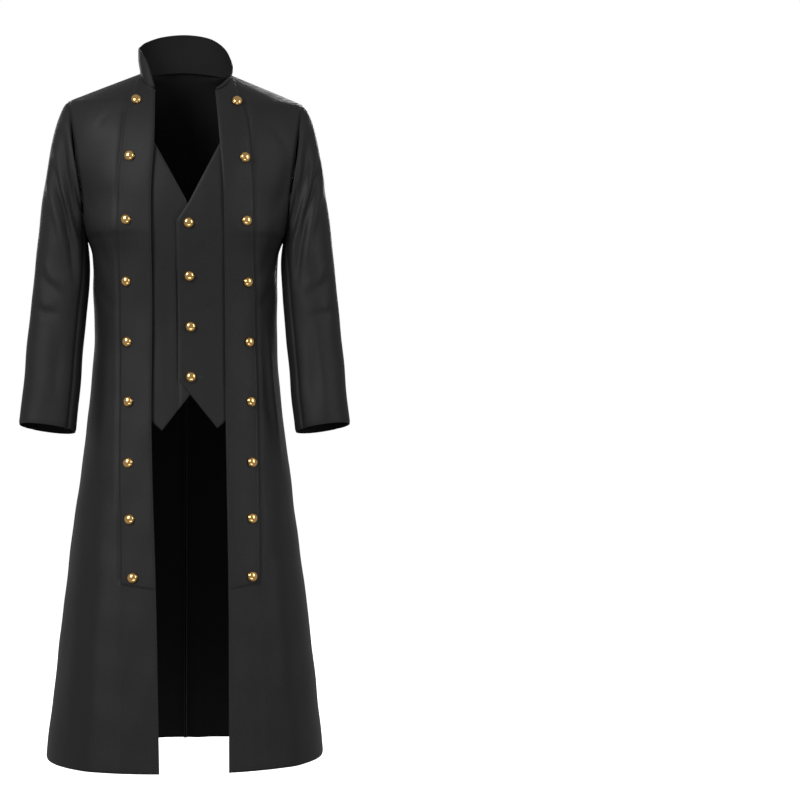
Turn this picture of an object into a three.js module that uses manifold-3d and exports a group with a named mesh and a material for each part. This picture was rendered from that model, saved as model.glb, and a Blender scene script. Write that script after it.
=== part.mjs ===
// A black frock coat with a mock waistcoat and a laced back, filled out as on a wearer, with no
// wearer. Millimetres, +Z up, the front towards -Y, the wearer's left at +X. The origin is the
// middle of the base of the neck, at the height where the shoulder seams meet the collar.
import * as THREE from 'three';
import { mergeVertices } from 'three/addons/utils/BufferGeometryUtils.js';
import Module from 'manifold-3d';

// ---------------------------------------------------------------- driving dimensions

const HEM_Z = -1355;              // the hem below the neck point
const WAIST_SEAM_Z = -441;        // the seam of the back, at the centre
const WAIST_SEAM_RISE = 12;       // how far that seam rises to the sides
const SEAM_GAP = 0.4;             // clear space between two pieces at a seam
const COAT_WALL = 2.0;            // shell with its backing
const THIN_WALL = 1.5;            // bands, waistcoat and tabs
const COLLAR_WALL = 2.6;          // two layers and their canvas
const COLLAR_SEAM_GAP = 1.0;      // straight up from the neck seam, which slopes

const NECK_HALF = 89;             // half the width of the neck hole at the shoulder seams
const NAPE_RISE = 17;             // centre back of the neck seam above the neck points
const NAPE_Y = 75;
const NECK_FRONT_Z = -42;         // where the front edges meet the collar
const SHOULDER_Y = 8;             // the shoulder seam and the middle of the armhole

const ARMHOLE_TOP = { x: 230.5, z: -57 };
const ARMHOLE_BOTTOM = { x: 194, z: -330 };
const ARMHOLE_HALF_DEPTH = 64;

const ROUND_POWER = 2.4;          // squareness of the sections below the arms
const ROUND_FROM_Z = -240;        // sections turn from a soft chest to a full round here
const ROUND_TO_Z = -340;

// The centre line's front and back at each height, and how flat the chest runs to the armhole.
const PROFILE = [
  { z: 17, front: -32, back: 75, power: 3.0 },
  { z: 0, front: -34, back: 83, power: 3.0 },
  { z: -42, front: -62, back: 98, power: 3.2 },
  { z: -110, front: -99, back: 115, power: 2.9 },
  { z: -180, front: -119, back: 123, power: 2.6 },
  { z: -250, front: -128, back: 120, power: 2.6 },
  { z: -330, front: -125, back: 107, power: 2.6 },
  { z: -430, front: -112, back: 95, power: 2.6 },
  { z: -529, front: -108, back: 105, power: 2.6 },
  { z: -649, front: -117, back: 126, power: 2.6 },
  { z: -794, front: -133, back: 149, power: 2.6 },
  { z: -1076, front: -171, back: 184, power: 2.6 },
  { z: HEM_Z, front: -207, back: 217, power: 2.6 },
];

// The widest line below the arms: half width, and how far back it lies.
const SIDES = [
  { z: -330, half: 194, y: 8 },
  { z: -362, half: 184, y: 18 },
  { z: -430, half: 183, y: 26 },
  { z: -529, half: 181.7, y: 28 },
  { z: -649, half: 190.2, y: 30 },
  { z: -794, half: 207.8, y: 35 },
  { z: -1076, half: 244.6, y: 42 },
  { z: HEM_Z, half: 276, y: 48 },
];

// The coat's own front edges and the outer seams of the bands, as distances from the middle.
const FRONT_EDGES = [
  { z: NECK_FRONT_Z, right: 60, left: 57 },
  { z: -144, right: 61, left: 65 },
  { z: -245, right: 67, left: 72 },
  { z: -470, right: 65, left: 75 },
  { z: -720, right: 66, left: 77 },
  { z: -1007, right: 57.5, left: 81 },
  { z: HEM_Z, right: 50, left: 81 },
];
const BAND_SEAMS = [
  { z: -8, right: 90, left: 90 },
  { z: -73, right: 113, left: 114 },
  { z: -140, right: 121, left: 123 },
  { z: -240, right: 129.5, left: 130.5 },
  { z: -344, right: 131, left: 131 },
  { z: -470, right: 127, left: 136 },
  { z: -785, right: 126.5, left: 142 },
  { z: -1003, right: 123.5, left: 143 },
];
const BAND_END_Z = -1003;         // the band's lower edge at its seam
const BAND_END_DROP = 9;          // and how much lower it is at the front edge

// The skirt's largest folds: a ridge or a trough, from the waist down, deepest at the hem.
const SKIRT_FOLDS = [
  { face: 1, waistX: 24, hemX: 26, width: 34, depth: -9 },
  { face: 1, waistX: 96, hemX: 150, width: 44, depth: 10 },
  { face: 1, waistX: 128, hemX: 200, width: 46, depth: -11 },
  { face: 1, waistX: -62, hemX: -92, width: 52, depth: -7 },
  { face: 1, waistX: -108, hemX: -160, width: 40, depth: 8 },
  { face: 1, waistX: -142, hemX: -208, width: 44, depth: -9 },
  { face: -1, waistX: 150, hemX: 215, width: 40, depth: 7 },
  { face: -1, waistX: -150, hemX: -190, width: 46, depth: 5 },
];

// The sleeve from the armhole to the cuff: the outer and the inner point of each ring, its half
// depth, its middle, how far its back edge hangs, and the angle of the back seam from outside.
const SLEEVE_RINGS = [
  { outX: 230.5, outZ: -57, inX: 194, inZ: -330, half: 64, y: 8, drop: 0, seam: 92 },
  { outX: 243, outZ: -74, inX: 193.6, inZ: -336, half: 67, y: 8, drop: 0, seam: 84 },
  { outX: 256, outZ: -108, inX: 192, inZ: -346, half: 68, y: 8, drop: 0, seam: 76 },
  { outX: 267, outZ: -160, inX: 190, inZ: -360, half: 66, y: 7, drop: 0, seam: 68 },
  { outX: 276, outZ: -215, inX: 188.5, inZ: -378, half: 64, y: 5, drop: 0, seam: 60 },
  { outX: 284.5, outZ: -280, inX: 188.5, inZ: -400, half: 61, y: 2, drop: 1, seam: 55 },
  { outX: 292.5, outZ: -350, inX: 191, inZ: -436, half: 58, y: -1, drop: 2, seam: 52 },
  { outX: 299.5, outZ: -425, inX: 195, inZ: -482, half: 56, y: -5, drop: 4, seam: 50 },
  { outX: 306.5, outZ: -500, inX: 199.5, inZ: -535, half: 54, y: -11, drop: 6, seam: 49 },
  { outX: 313, outZ: -575, inX: 204.5, inZ: -594, half: 52, y: -18, drop: 7, seam: 49 },
  { outX: 319, outZ: -640, inX: 209, inZ: -652, half: 50, y: -27, drop: 8, seam: 50 },
  { outX: 325, outZ: -697, inX: 215, inZ: -712, half: 48, y: -36, drop: 9, seam: 51 },
];
const FRONT_SLEEVE_SEAM = -140;   // degrees from the outer point, round the front

// The collar's upper edge from the wearer's right front end (turn -1) round the nape (0) to the
// left front end (1). The right side keeps its corner; the left side rolls outwards.
const COLLAR_RIBS = [
  { turn: -1, x: -60.5, y: -63, z: -36 },
  { turn: -0.9, x: -68, y: -57, z: -10 },
  { turn: -0.8, x: -77, y: -46, z: 17 },
  { turn: -0.7, x: -88, y: -31, z: 36 },
  { turn: -0.6, x: -93.5, y: -12, z: 47 },
  { turn: -0.5, x: -92.5, y: 11, z: 53 },
  { turn: -0.33, x: -80, y: 47, z: 69 },
  { turn: -0.17, x: -46, y: 73, z: 85 },
  { turn: 0, x: 2, y: 83, z: 91.5 },
  { turn: 0.17, x: 49, y: 73, z: 83 },
  { turn: 0.33, x: 79, y: 48, z: 59 },
  { turn: 0.5, x: 92, y: 12, z: 26 },
  { turn: 0.6, x: 90, y: -11, z: 4 },
  { turn: 0.7, x: 85, y: -30, z: -9 },
  { turn: 0.8, x: 78, y: -46, z: -18 },
  { turn: 0.9, x: 69, y: -57, z: -28 },
  { turn: 1, x: 58.5, y: -63, z: -36 },
];

// The waistcoat: its neckline down to the overlap, and its pointed lower edge.
const VEST_TOP_Z = -130;
const VEST_HIDDEN_HALF = 116;     // it is sewn in under the band here
const VEST_NECK = [
  { z: VEST_TOP_Z, left: 75, right: -71 },
  { z: -269, left: 4, right: 4 },
  { z: -302, left: -17.5, right: 20 },
  { z: -435, left: -15.5, right: 21 },
  { z: -707, left: -11.7, right: 22 },
];
const VEST_LEFT_HEM = [
  { x: -11.7, z: -612 },
  { x: 61, z: -703 },
  { x: VEST_HIDDEN_HALF, z: -659 },
];
const VEST_RIGHT_HEM = [
  { x: 22, z: -621 },
  { x: -47, z: -707 },
  { x: -VEST_HIDDEN_HALF, z: -652 },
];

const BUTTON_RADIUS = 10;
const BUTTON_HEIGHT = 7.5;
const BAND_BUTTONS = [
  { right: -96, left: 99, z: -65 },
  { right: -108, left: 113.5, z: -178 },
  { right: -114.5, left: 116.5, z: -301 },
  { right: -114.5, left: 119.5, z: -419 },
  { right: -113, left: 122.5, z: -536 },
  { right: -110.5, left: 125.5, z: -652 },
  { right: -110, left: 127, z: -770 },
  { right: -107, left: 126.5, z: -878 },
  { right: -101, left: 126, z: -989 },
];
const VEST_BUTTONS = [
  { x: 5, z: -307 },
  { x: 6.5, z: -409.5 },
  { x: 9, z: -507 },
  { x: 9.7, z: -604 },
];

// The lacing tabs: their edges are lines down the back, from the shoulders to the waist.
const TAB_TOP_Z = -260;
const TAB_LINES = [
  { z: -97, inner: 80, outer: 106 },
  { z: TAB_TOP_Z, inner: 75.5, outer: 104.5 },
  { z: -445, inner: 68, outer: 95 },
];
const TAB_CLEARANCE = [3.6, 3.6, 3.2, SEAM_GAP];  // under the tab, from its free edge to its seam
const EYELET_FIRST = { x: 87, z: -283 };
const EYELET_STEP = { x: -1.3, z: -34 };
const EYELET_COUNT = 5;
const EYELET_BORE = 3.0;
const EYELET_BARREL = 3.6;
const EYELET_RADIUS = 5.5;
const EYELET_RIM = 0.8;

const LACE_WIDTH = 7;
const LACE_THICKNESS = 1.1;
const LACE_UNDER = 1.6;           // height of the lace's middle over the back, under a tab
const LACE_OVER = 7.4;            // the same where it comes over an eyelet
const LACE_CROSSING = 3.6;        // the same for the upper lace of a crossing

// The laced eyelets in order, side 1 at the wearer's left, row 0 at the top, and whether the lace
// comes and goes over the tab or under it.
const LACED_EYELETS = [
  { side: 1, row: 4, comesOver: false, goesOver: true },
  { side: -1, row: 3, comesOver: false, goesOver: true },
  { side: 1, row: 2, comesOver: true, goesOver: false },
  { side: -1, row: 1, comesOver: false, goesOver: true },
  { side: 1, row: 0, comesOver: true, goesOver: false },
  { side: -1, row: 0, comesOver: false, goesOver: true },
  { side: 1, row: 1, comesOver: false, goesOver: true },
  { side: -1, row: 2, comesOver: true, goesOver: false },
  { side: 1, row: 3, comesOver: true, goesOver: false },
  { side: -1, row: 4, comesOver: true, goesOver: false },
];

// The free ends of the lace: place across and down the back, height over it, and width there.
const LEFT_END_ROUTE = [
  { x: 74.5, z: -422.6, lift: 1.6, width: 7 },
  { x: 67, z: -426.8, lift: 1.6, width: 7 },
  { x: 59, z: -431.5, lift: 1.8, width: 7 },
  { x: 45, z: -438.5, lift: 2.2, width: 7 },
  { x: 31, z: -446, lift: 2.2, width: 7 },
  { x: 16, z: -454, lift: 1.8, width: 6 },
  { x: 2, z: -460, lift: 1.6, width: 4.5 },
  { x: -10, z: -462.5, lift: 1.6, width: 4.5 },
  { x: -22, z: -464.5, lift: 1.8, width: 5 },
  { x: -36, z: -471, lift: 2.8, width: 5.5 },
  { x: -49.5, z: -482.5, lift: 4, width: 5.5 },
  { x: -61, z: -494.5, lift: 4.5, width: 5.5 },
  { x: -71.5, z: -506.5, lift: 4.5, width: 5.5 },
  { x: -79.5, z: -519, lift: 4, width: 5.5 },
  { x: -82.5, z: -531, lift: 3, width: 5.5 },
  { x: -79, z: -543, lift: 2.2, width: 5.5 },
  { x: -70, z: -550, lift: 2, width: 5.5 },
  { x: -58, z: -547.5, lift: 2.2, width: 5.5 },
  { x: -48.5, z: -538, lift: 3, width: 5.5 },
  { x: -38.5, z: -517, lift: 4.6, width: 5.5 },
  { x: -29, z: -498.5, lift: 5, width: 5.5 },
  { x: -19, z: -480.5, lift: 5.2, width: 5.2 },
  { x: -9, z: -466.5, lift: 5.4, width: 4.5 },
  { x: -1, z: -459, lift: 5.6, width: 4 },
  { x: 8, z: -457.5, lift: 5.6, width: 4 },
  { x: 15.2, z: -462.5, lift: 5.6, width: 4 },
  { x: 17, z: -470, lift: 5.2, width: 4.5 },
  { x: 15.6, z: -478, lift: 4.2, width: 5 },
  { x: 14.6, z: -488, lift: 2.6, width: 5.5 },
  { x: 14.4, z: -500, lift: 1.8, width: 5.5 },
  { x: 17, z: -514, lift: 1.6, width: 5.5 },
  { x: 21.5, z: -527, lift: 1.6, width: 5.5 },
  { x: 24.5, z: -541, lift: 1.8, width: 5.5 },
  { x: 24.5, z: -555, lift: 2, width: 5.5 },
  { x: 20, z: -569, lift: 2, width: 5.5 },
  { x: 13, z: -583, lift: 2, width: 5.5 },
  { x: 6, z: -598, lift: 2, width: 5.5 },
  { x: -3, z: -619.5, lift: 2, width: 5.5 },
];
const RIGHT_END_ROUTE = [
  { x: -73.5, z: -422.6, lift: 1.6, width: 7 },
  { x: -66, z: -427, lift: 1.6, width: 7 },
  { x: -59, z: -431.5, lift: 1.8, width: 7 },
  { x: -45, z: -440, lift: 2.6, width: 7 },
  { x: -31, z: -448, lift: 3.4, width: 7 },
  { x: -18, z: -455.5, lift: 3.6, width: 6 },
  { x: -7, z: -461, lift: 3.6, width: 4.5 },
  { x: 5, z: -462, lift: 3.6, width: 4.5 },
  { x: 14.5, z: -466.5, lift: 3.4, width: 4 },
  { x: 23.5, z: -474.5, lift: 3.4, width: 4.5 },
  { x: 30.5, z: -485, lift: 4.2, width: 5.5 },
  { x: 34.5, z: -496, lift: 4.8, width: 5.5 },
  { x: 37.5, z: -508, lift: 5, width: 5.5 },
  { x: 39.5, z: -519, lift: 4.8, width: 5.5 },
  { x: 38.5, z: -529, lift: 4.6, width: 5.5 },
  { x: 32, z: -535.5, lift: 4.6, width: 5.5 },
  { x: 24, z: -533, lift: 4.6, width: 5.5 },
  { x: 17.5, z: -524, lift: 4.8, width: 5.5 },
  { x: 14, z: -509, lift: 5.2, width: 5.5 },
  { x: 13, z: -495, lift: 6, width: 5.5 },
  { x: 12, z: -480, lift: 7.2, width: 5 },
  { x: 7, z: -467.5, lift: 7.6, width: 4.5 },
  { x: -1, z: -461, lift: 7.8, width: 4.5 },
  { x: -10, z: -459.5, lift: 7.8, width: 4.5 },
  { x: -19.5, z: -462, lift: 7, width: 5 },
  { x: -28, z: -467, lift: 5.6, width: 5 },
  { x: -34.5, z: -475.5, lift: 4.8, width: 4.5 },
  { x: -37, z: -484.5, lift: 2.8, width: 5 },
  { x: -38, z: -494, lift: 1.8, width: 5 },
  { x: -38.5, z: -506, lift: 1.7, width: 5 },
];

// ---------------------------------------------------------------- finishes

const COAT_CLOTH = { color: 0x1b1b1d, roughness: 0.55, metalness: 0 };
const LACE_BRAID = { color: 0x242426, roughness: 0.6, metalness: 0 };
const GILT_BRASS = { color: 0xd9a441, roughness: 0.18, metalness: 1 };
const NICKEL = { color: 0xc9c9cc, roughness: 0.25, metalness: 1 };

const coat = new THREE.Group();

function addPiece(name, geometry, finish) {
  const mesh = new THREE.Mesh(geometry, new THREE.MeshStandardMaterial(finish));
  mesh.name = name;
  coat.add(mesh);
  return mesh;
}

// ---------------------------------------------------------------- curves through tables

// Slope of a table's column at one of its rows.
function slopeAt(rows, index, column) {
  const above = rows[Math.max(index - 1, 0)];
  const below = rows[Math.min(index + 1, rows.length - 1)];
  return (below[column] - above[column]) / (below.z - above.z);
}

// A column of a table at height z, on a smooth curve through its rows, which go downwards.
function along(rows, z, column) {
  let index = 0;
  while (index < rows.length - 2 && z < rows[index + 1].z) {
    index += 1;
  }
  const above = rows[index];
  const below = rows[index + 1];
  const step = below.z - above.z;
  const t = THREE.MathUtils.clamp((z - above.z) / step, 0, 1);
  const t2 = t * t;
  const t3 = t2 * t;
  return (
    (2 * t3 - 3 * t2 + 1) * above[column] +
    (t3 - 2 * t2 + t) * step * slopeAt(rows, index, column) +
    (3 * t2 - 2 * t3) * below[column] +
    (t3 - t2) * step * slopeAt(rows, index + 1, column)
  );
}

// A column of a table between two rows, on straight lines.
function straight(rows, key, at, column) {
  let index = 0;
  const way = Math.sign(rows[1][key] - rows[0][key]);
  while (index < rows.length - 2 && way * at > way * rows[index + 1][key]) {
    index += 1;
  }
  const from = rows[index];
  const to = rows[index + 1];
  const t = THREE.MathUtils.clamp((at - from[key]) / (to[key] - from[key]), 0, 1);
  return THREE.MathUtils.lerp(from[column], to[column], t);
}

// ---------------------------------------------------------------- the coat's form

const ARMHOLE_MID_Z = (ARMHOLE_TOP.z + ARMHOLE_BOTTOM.z) / 2;
const ARMHOLE_HALF_Z = (ARMHOLE_TOP.z - ARMHOLE_BOTTOM.z) / 2;

// Half the width where the front and the back meet, or where they end at the armhole.
function edgeX(z) {
  if (z >= 0) {
    return NECK_HALF * Math.sqrt(Math.max(0.0001, 1 - z / NAPE_RISE));
  }
  if (z > ARMHOLE_TOP.z) {
    return THREE.MathUtils.lerp(NECK_HALF, ARMHOLE_TOP.x, z / ARMHOLE_TOP.z);
  }
  if (z > ARMHOLE_BOTTOM.z) {
    const down = (z - ARMHOLE_TOP.z) / (ARMHOLE_BOTTOM.z - ARMHOLE_TOP.z);
    return THREE.MathUtils.lerp(ARMHOLE_TOP.x, ARMHOLE_BOTTOM.x, down);
  }
  return along(SIDES, z, 'half');
}

// How far back that edge lies. face is -1 for the front and 1 for the back.
function edgeY(z, face) {
  if (z >= 0) {
    const nape = face > 0 ? Math.sqrt(Math.min(1, z / NAPE_RISE)) : 0;
    return THREE.MathUtils.lerp(SHOULDER_Y, NAPE_Y, nape);
  }
  if (z > ARMHOLE_TOP.z) {
    return SHOULDER_Y;
  }
  if (z > ARMHOLE_BOTTOM.z) {
    const height = (z - ARMHOLE_MID_Z) / ARMHOLE_HALF_Z;
    return SHOULDER_Y + face * ARMHOLE_HALF_DEPTH * Math.sqrt(Math.max(0, 1 - height * height));
  }
  return along(SIDES, z, 'y');
}

// The skirt's folds at a point, outwards from the body.
function foldLift(x, z, face) {
  const down = (WAIST_SEAM_Z - z) / (WAIST_SEAM_Z - HEM_Z);
  if (down <= 0) {
    return 0;
  }
  let lift = 0;
  for (const fold of SKIRT_FOLDS) {
    const middle = THREE.MathUtils.lerp(fold.waistX, fold.hemX, down);
    const width = fold.width * (0.6 + 0.4 * down);
    const off = (x - middle) / width;
    lift += fold.face === face ? fold.depth * Math.pow(down, 0.7) * Math.exp(-4 * off * off) : 0;
  }
  const clearOfSide = 1 - Math.pow(Math.min(1, Math.abs(x) / edgeX(z)), 6);
  return lift * clearOfSide;
}

// The outer face of the front or the back at a place seen straight from the front.
function skinY(x, z, face) {
  const reach = Math.min(Math.abs(x) / edgeX(z), 1);
  const middle = along(PROFILE, z, face < 0 ? 'front' : 'back');
  const soft = Math.pow(reach, along(PROFILE, z, 'power'));
  const round = 1 - Math.pow(Math.max(0, 1 - Math.pow(reach, ROUND_POWER)), 1 / ROUND_POWER);
  const roundness = THREE.MathUtils.smoothstep(-z, -ROUND_FROM_Z, -ROUND_TO_Z);
  const share = THREE.MathUtils.lerp(soft, round, roundness);
  return THREE.MathUtils.lerp(middle, edgeY(z, face), share) + face * foldLift(x, z, face);
}

// A point lifted square off the outer face.
function onSkin(x, z, face, lift) {
  const step = 1;
  const y = skinY(x, z, face);
  const slopeX = (skinY(x + step, z, face) - skinY(x - step, z, face)) / (2 * step);
  const slopeZ = (skinY(x, z + step, face) - skinY(x, z - step, face)) / (2 * step);
  const normal = new THREE.Vector3(-slopeX, 1, -slopeZ).normalize().multiplyScalar(face);
  return new THREE.Vector3(x, y, z).addScaledVector(normal, lift);
}

// ---------------------------------------------------------------- walls of cloth

// A closed wall from a grid of outer points, rows[j][i]. edgeRule may turn the direction in which
// the wall goes inwards at a point, so that two pieces meet squarely at a seam.
function clothWall(rows, wall, edgeRule) {
  const rowCount = rows.length;
  const columnCount = rows[0].length;
  const across = new THREE.Vector3();
  const down = new THREE.Vector3();
  const outer = [];
  const inner = [];
  for (let j = 0; j < rowCount; j += 1) {
    for (let i = 0; i < columnCount; i += 1) {
      const left = rows[j][Math.max(i - 1, 0)];
      const right = rows[j][Math.min(i + 1, columnCount - 1)];
      const above = rows[Math.max(j - 1, 0)][i];
      const below = rows[Math.min(j + 1, rowCount - 1)][i];
      across.subVectors(right, left);
      down.subVectors(below, above);
      const normal = new THREE.Vector3().crossVectors(down, across).normalize();
      if (edgeRule) {
        edgeRule(normal, j, i);
        normal.normalize();
      }
      outer.push(rows[j][i].clone());
      inner.push(rows[j][i].clone().addScaledVector(normal, -wall));
    }
  }
  const positions = [];
  for (const point of [...outer, ...inner]) {
    positions.push(point.x, point.y, point.z);
  }
  const innerStart = outer.length;
  const at = (j, i) => j * columnCount + i;
  const faces = [];
  const addQuad = (a, b, c, d) => faces.push(a, b, c, a, c, d);
  for (let j = 0; j < rowCount - 1; j += 1) {
    for (let i = 0; i < columnCount - 1; i += 1) {
      addQuad(at(j, i), at(j + 1, i), at(j + 1, i + 1), at(j, i + 1));
      addQuad(
        innerStart + at(j, i),
        innerStart + at(j, i + 1),
        innerStart + at(j + 1, i + 1),
        innerStart + at(j + 1, i),
      );
    }
  }
  const lastRow = rowCount - 1;
  const lastColumn = columnCount - 1;
  for (let i = 0; i < lastColumn; i += 1) {
    addQuad(at(0, i), at(0, i + 1), innerStart + at(0, i + 1), innerStart + at(0, i));
    addQuad(
      at(lastRow, i + 1),
      at(lastRow, i),
      innerStart + at(lastRow, i),
      innerStart + at(lastRow, i + 1),
    );
  }
  for (let j = 0; j < lastRow; j += 1) {
    addQuad(at(j + 1, 0), at(j, 0), innerStart + at(j, 0), innerStart + at(j + 1, 0));
    addQuad(
      at(j, lastColumn),
      at(j + 1, lastColumn),
      innerStart + at(j + 1, lastColumn),
      innerStart + at(j, lastColumn),
    );
  }
  const geometry = new THREE.BufferGeometry();
  geometry.setAttribute('position', new THREE.Float32BufferAttribute(positions, 3));
  geometry.setIndex(faces);
  return geometry;
}

// Numbers from 0 to 1 in equal steps.
function evenSteps(count) {
  return Array.from({ length: count + 1 }, (_, index) => index / count);
}

// ---------------------------------------------------------------- fronts and bands

const CHEST_TOP_Z = -97;          // above this the rows fan up to the neck and shoulder seams
const BAND_SHARE = 0.36;          // share of a front's columns that lie under the band
const FRONT_COLUMNS = [0, 0.09, 0.18, 0.27, BAND_SHARE, 0.47, 0.58, 0.69, 0.8, 0.9, 1];
const FAN_STEPS = [0, 0.35, 0.7, 1];
const FRONT_HEIGHTS = [
  -141, -193.5, -245, -290, -330, -375, -412, -445, -480, -529, -585, -649, -794, -900,
];
const FRONT_SKIRT_HEIGHTS = [-1120, -1240, HEM_Z];
const BAND_ROW = FAN_STEPS.length + FRONT_HEIGHTS.length;
const BAND_TUCK = 0.12;           // the band starts a little below the collar seam
const BAND_TOP_LIFT = 0.8;        // and clears the corner at the shoulder seam

const quarterTurn = Math.PI / 2;
const sideName = (side) => (side > 0 ? 'left' : 'right');

// Distance from the middle at height z of a column between an inner line and the edge.
function spreadToEdge(inner, z, share) {
  const edge = edgeX(z);
  const start = Math.asin(Math.min(1, inner / edge));
  return edge * Math.sin(THREE.MathUtils.lerp(start, quarterTurn, share));
}

// A point of the front neckline or shoulder seam for a column.
function frontTop(column, side) {
  if (column <= BAND_SHARE) {
    const turn = (column / BAND_SHARE) * quarterTurn;
    const start = FRONT_EDGES[0][sideName(side)];
    return {
      d: THREE.MathUtils.lerp(start, NECK_HALF, Math.sin(turn)),
      z: NECK_FRONT_Z * Math.cos(turn),
    };
  }
  const share = (column - BAND_SHARE) / (1 - BAND_SHARE);
  const spread = Math.sin(THREE.MathUtils.lerp(0.45, quarterTurn, share));
  const way = (spread - Math.sin(0.45)) / (1 - Math.sin(0.45));
  return {
    d: THREE.MathUtils.lerp(NECK_HALF, ARMHOLE_TOP.x, way),
    z: THREE.MathUtils.lerp(0, ARMHOLE_TOP.z, way),
  };
}

function frontDistance(column, z, side) {
  const edge = along(FRONT_EDGES, z, sideName(side));
  const seam = along(BAND_SEAMS, z, sideName(side));
  if (column <= BAND_SHARE) {
    return THREE.MathUtils.lerp(edge, seam, column / BAND_SHARE);
  }
  return spreadToEdge(seam, z, (column - BAND_SHARE) / (1 - BAND_SHARE));
}

// The band's lower edge drops towards the front edge, and the row of the front below it with it.
function bandEndHeight(column) {
  const drop = Math.max(0, 1 - column / BAND_SHARE) * BAND_END_DROP;
  return BAND_END_Z - drop;
}

function frontGrid(side) {
  const pointAt = (d, z, column) => {
    const y = skinY(side * d, z, -1);
    const atSeam = column === 1 && z <= ARMHOLE_BOTTOM.z;
    return new THREE.Vector3(side * d, atSeam ? y - SEAM_GAP / 2 : y, z);
  };
  const rows = FAN_STEPS.map((step) =>
    FRONT_COLUMNS.map((column) => {
      const top = frontTop(column, side);
      const fall = step * step;
      const chest = frontDistance(column, CHEST_TOP_Z, side);
      const d = THREE.MathUtils.lerp(top.d, chest, fall);
      const z = THREE.MathUtils.lerp(top.z, CHEST_TOP_Z, fall);
      const point = pointAt(d, z, column);
      if (step === 0 && column >= BAND_SHARE) {
        point.y = SHOULDER_Y - SEAM_GAP / 2;
      }
      return point;
    }),
  );
  for (const z of FRONT_HEIGHTS) {
    rows.push(FRONT_COLUMNS.map((column) => pointAt(frontDistance(column, z, side), z, column)));
  }
  rows.push(
    FRONT_COLUMNS.map((column) => {
      const z = bandEndHeight(column);
      return pointAt(frontDistance(column, z, side), z, column);
    }),
  );
  for (const z of FRONT_SKIRT_HEIGHTS) {
    rows.push(FRONT_COLUMNS.map((column) => pointAt(frontDistance(column, z, side), z, column)));
  }
  return rows;
}

// Rows in the order that faces outwards on the side named.
function facingOut(rows, reversed) {
  return reversed ? rows.map((row) => [...row].reverse()) : rows;
}

function buildFront(side) {
  const rows = frontGrid(side);
  const last = FRONT_COLUMNS.length - 1;
  const seamRule = (normal, j, i) => {
    const column = side > 0 ? i : last - i;
    const onShoulder = j === 0 && FRONT_COLUMNS[column] >= BAND_SHARE;
    const onSide = column === last && rows[j][last].z <= ARMHOLE_BOTTOM.z;
    if (onShoulder || onSide) {
      normal.y = 0;
    }
  };
  addPiece(`front_${sideName(side)}`, clothWall(facingOut(rows, side < 0), COAT_WALL, seamRule), COAT_CLOTH);
}

// Grid points moved off their own surface.
function movedOut(rows, liftAt) {
  return rows.map((row, j) =>
    row.map((point, i) => {
      const across = new THREE.Vector3().subVectors(
        row[Math.min(i + 1, row.length - 1)],
        row[Math.max(i - 1, 0)],
      );
      const down = new THREE.Vector3().subVectors(
        rows[Math.min(j + 1, rows.length - 1)][i],
        rows[Math.max(j - 1, 0)][i],
      );
      const normal = new THREE.Vector3().crossVectors(down, across).normalize();
      return point.clone().addScaledVector(normal, liftAt(i, j));
    }),
  );
}

function buildBand(side) {
  const columns = FRONT_COLUMNS.filter((column) => column <= BAND_SHARE).length;
  const liftAt = (i, j) => SEAM_GAP + THIN_WALL + (j === 0 ? BAND_TOP_LIFT : 0);
  const wholeFront = movedOut(facingOut(frontGrid(side), side < 0), liftAt);
  const rows = wholeFront
    .slice(0, BAND_ROW + 1)
    .map((row) => (side < 0 ? row.slice(-columns) : row.slice(0, columns)));
  rows[0] = rows[0].map((point, i) => point.clone().lerp(rows[1][i], BAND_TUCK));
  addPiece(`placket_${sideName(side)}`, clothWall(rows, THIN_WALL), COAT_CLOTH);
}

// ---------------------------------------------------------------- back

const BACK_ZONES = { inner: 0.3, outer: 0.5 };   // columns of the tab's free edge and its seam
const BACK_COLUMNS = [0, 0.1, 0.2, BACK_ZONES.inner, 0.4, BACK_ZONES.outer, 0.6, 0.7, 0.8, 0.9, 1];
const BACK_HEIGHTS = [-141, -193.5, TAB_TOP_Z, -295, -330, -375, -412];
const SKIRT_COLUMNS = 11;
const SKIRT_HEIGHTS = [-480, -529, -585, -649, -794, -900, -1003, -1120, -1240, HEM_Z];

function waistSeamZ(d) {
  const share = d / edgeX(WAIST_SEAM_Z);
  return WAIST_SEAM_Z + WAIST_SEAM_RISE * share * share;
}

function backDistance(column, z) {
  const inner = straight(TAB_LINES, 'z', z, 'inner');
  const outer = straight(TAB_LINES, 'z', z, 'outer');
  if (column <= BACK_ZONES.inner) {
    return (inner * column) / BACK_ZONES.inner;
  }
  if (column <= BACK_ZONES.outer) {
    const share = (column - BACK_ZONES.inner) / (BACK_ZONES.outer - BACK_ZONES.inner);
    return THREE.MathUtils.lerp(inner, outer, share);
  }
  return spreadToEdge(outer, z, (column - BACK_ZONES.outer) / (1 - BACK_ZONES.outer));
}

// A point of the nape seam or the shoulder seam for a column of the back.
function backTop(column) {
  if (column <= BACK_ZONES.outer) {
    const turn = (column / BACK_ZONES.outer) * quarterTurn;
    return { d: NECK_HALF * Math.sin(turn), z: NAPE_RISE * Math.cos(turn) ** 2 };
  }
  const share = (column - BACK_ZONES.outer) / (1 - BACK_ZONES.outer);
  const spread = Math.sin(THREE.MathUtils.lerp(0.45, quarterTurn, share));
  const way = (spread - Math.sin(0.45)) / (1 - Math.sin(0.45));
  return {
    d: THREE.MathUtils.lerp(NECK_HALF, ARMHOLE_TOP.x, way),
    z: THREE.MathUtils.lerp(0, ARMHOLE_TOP.z, way),
  };
}

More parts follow.
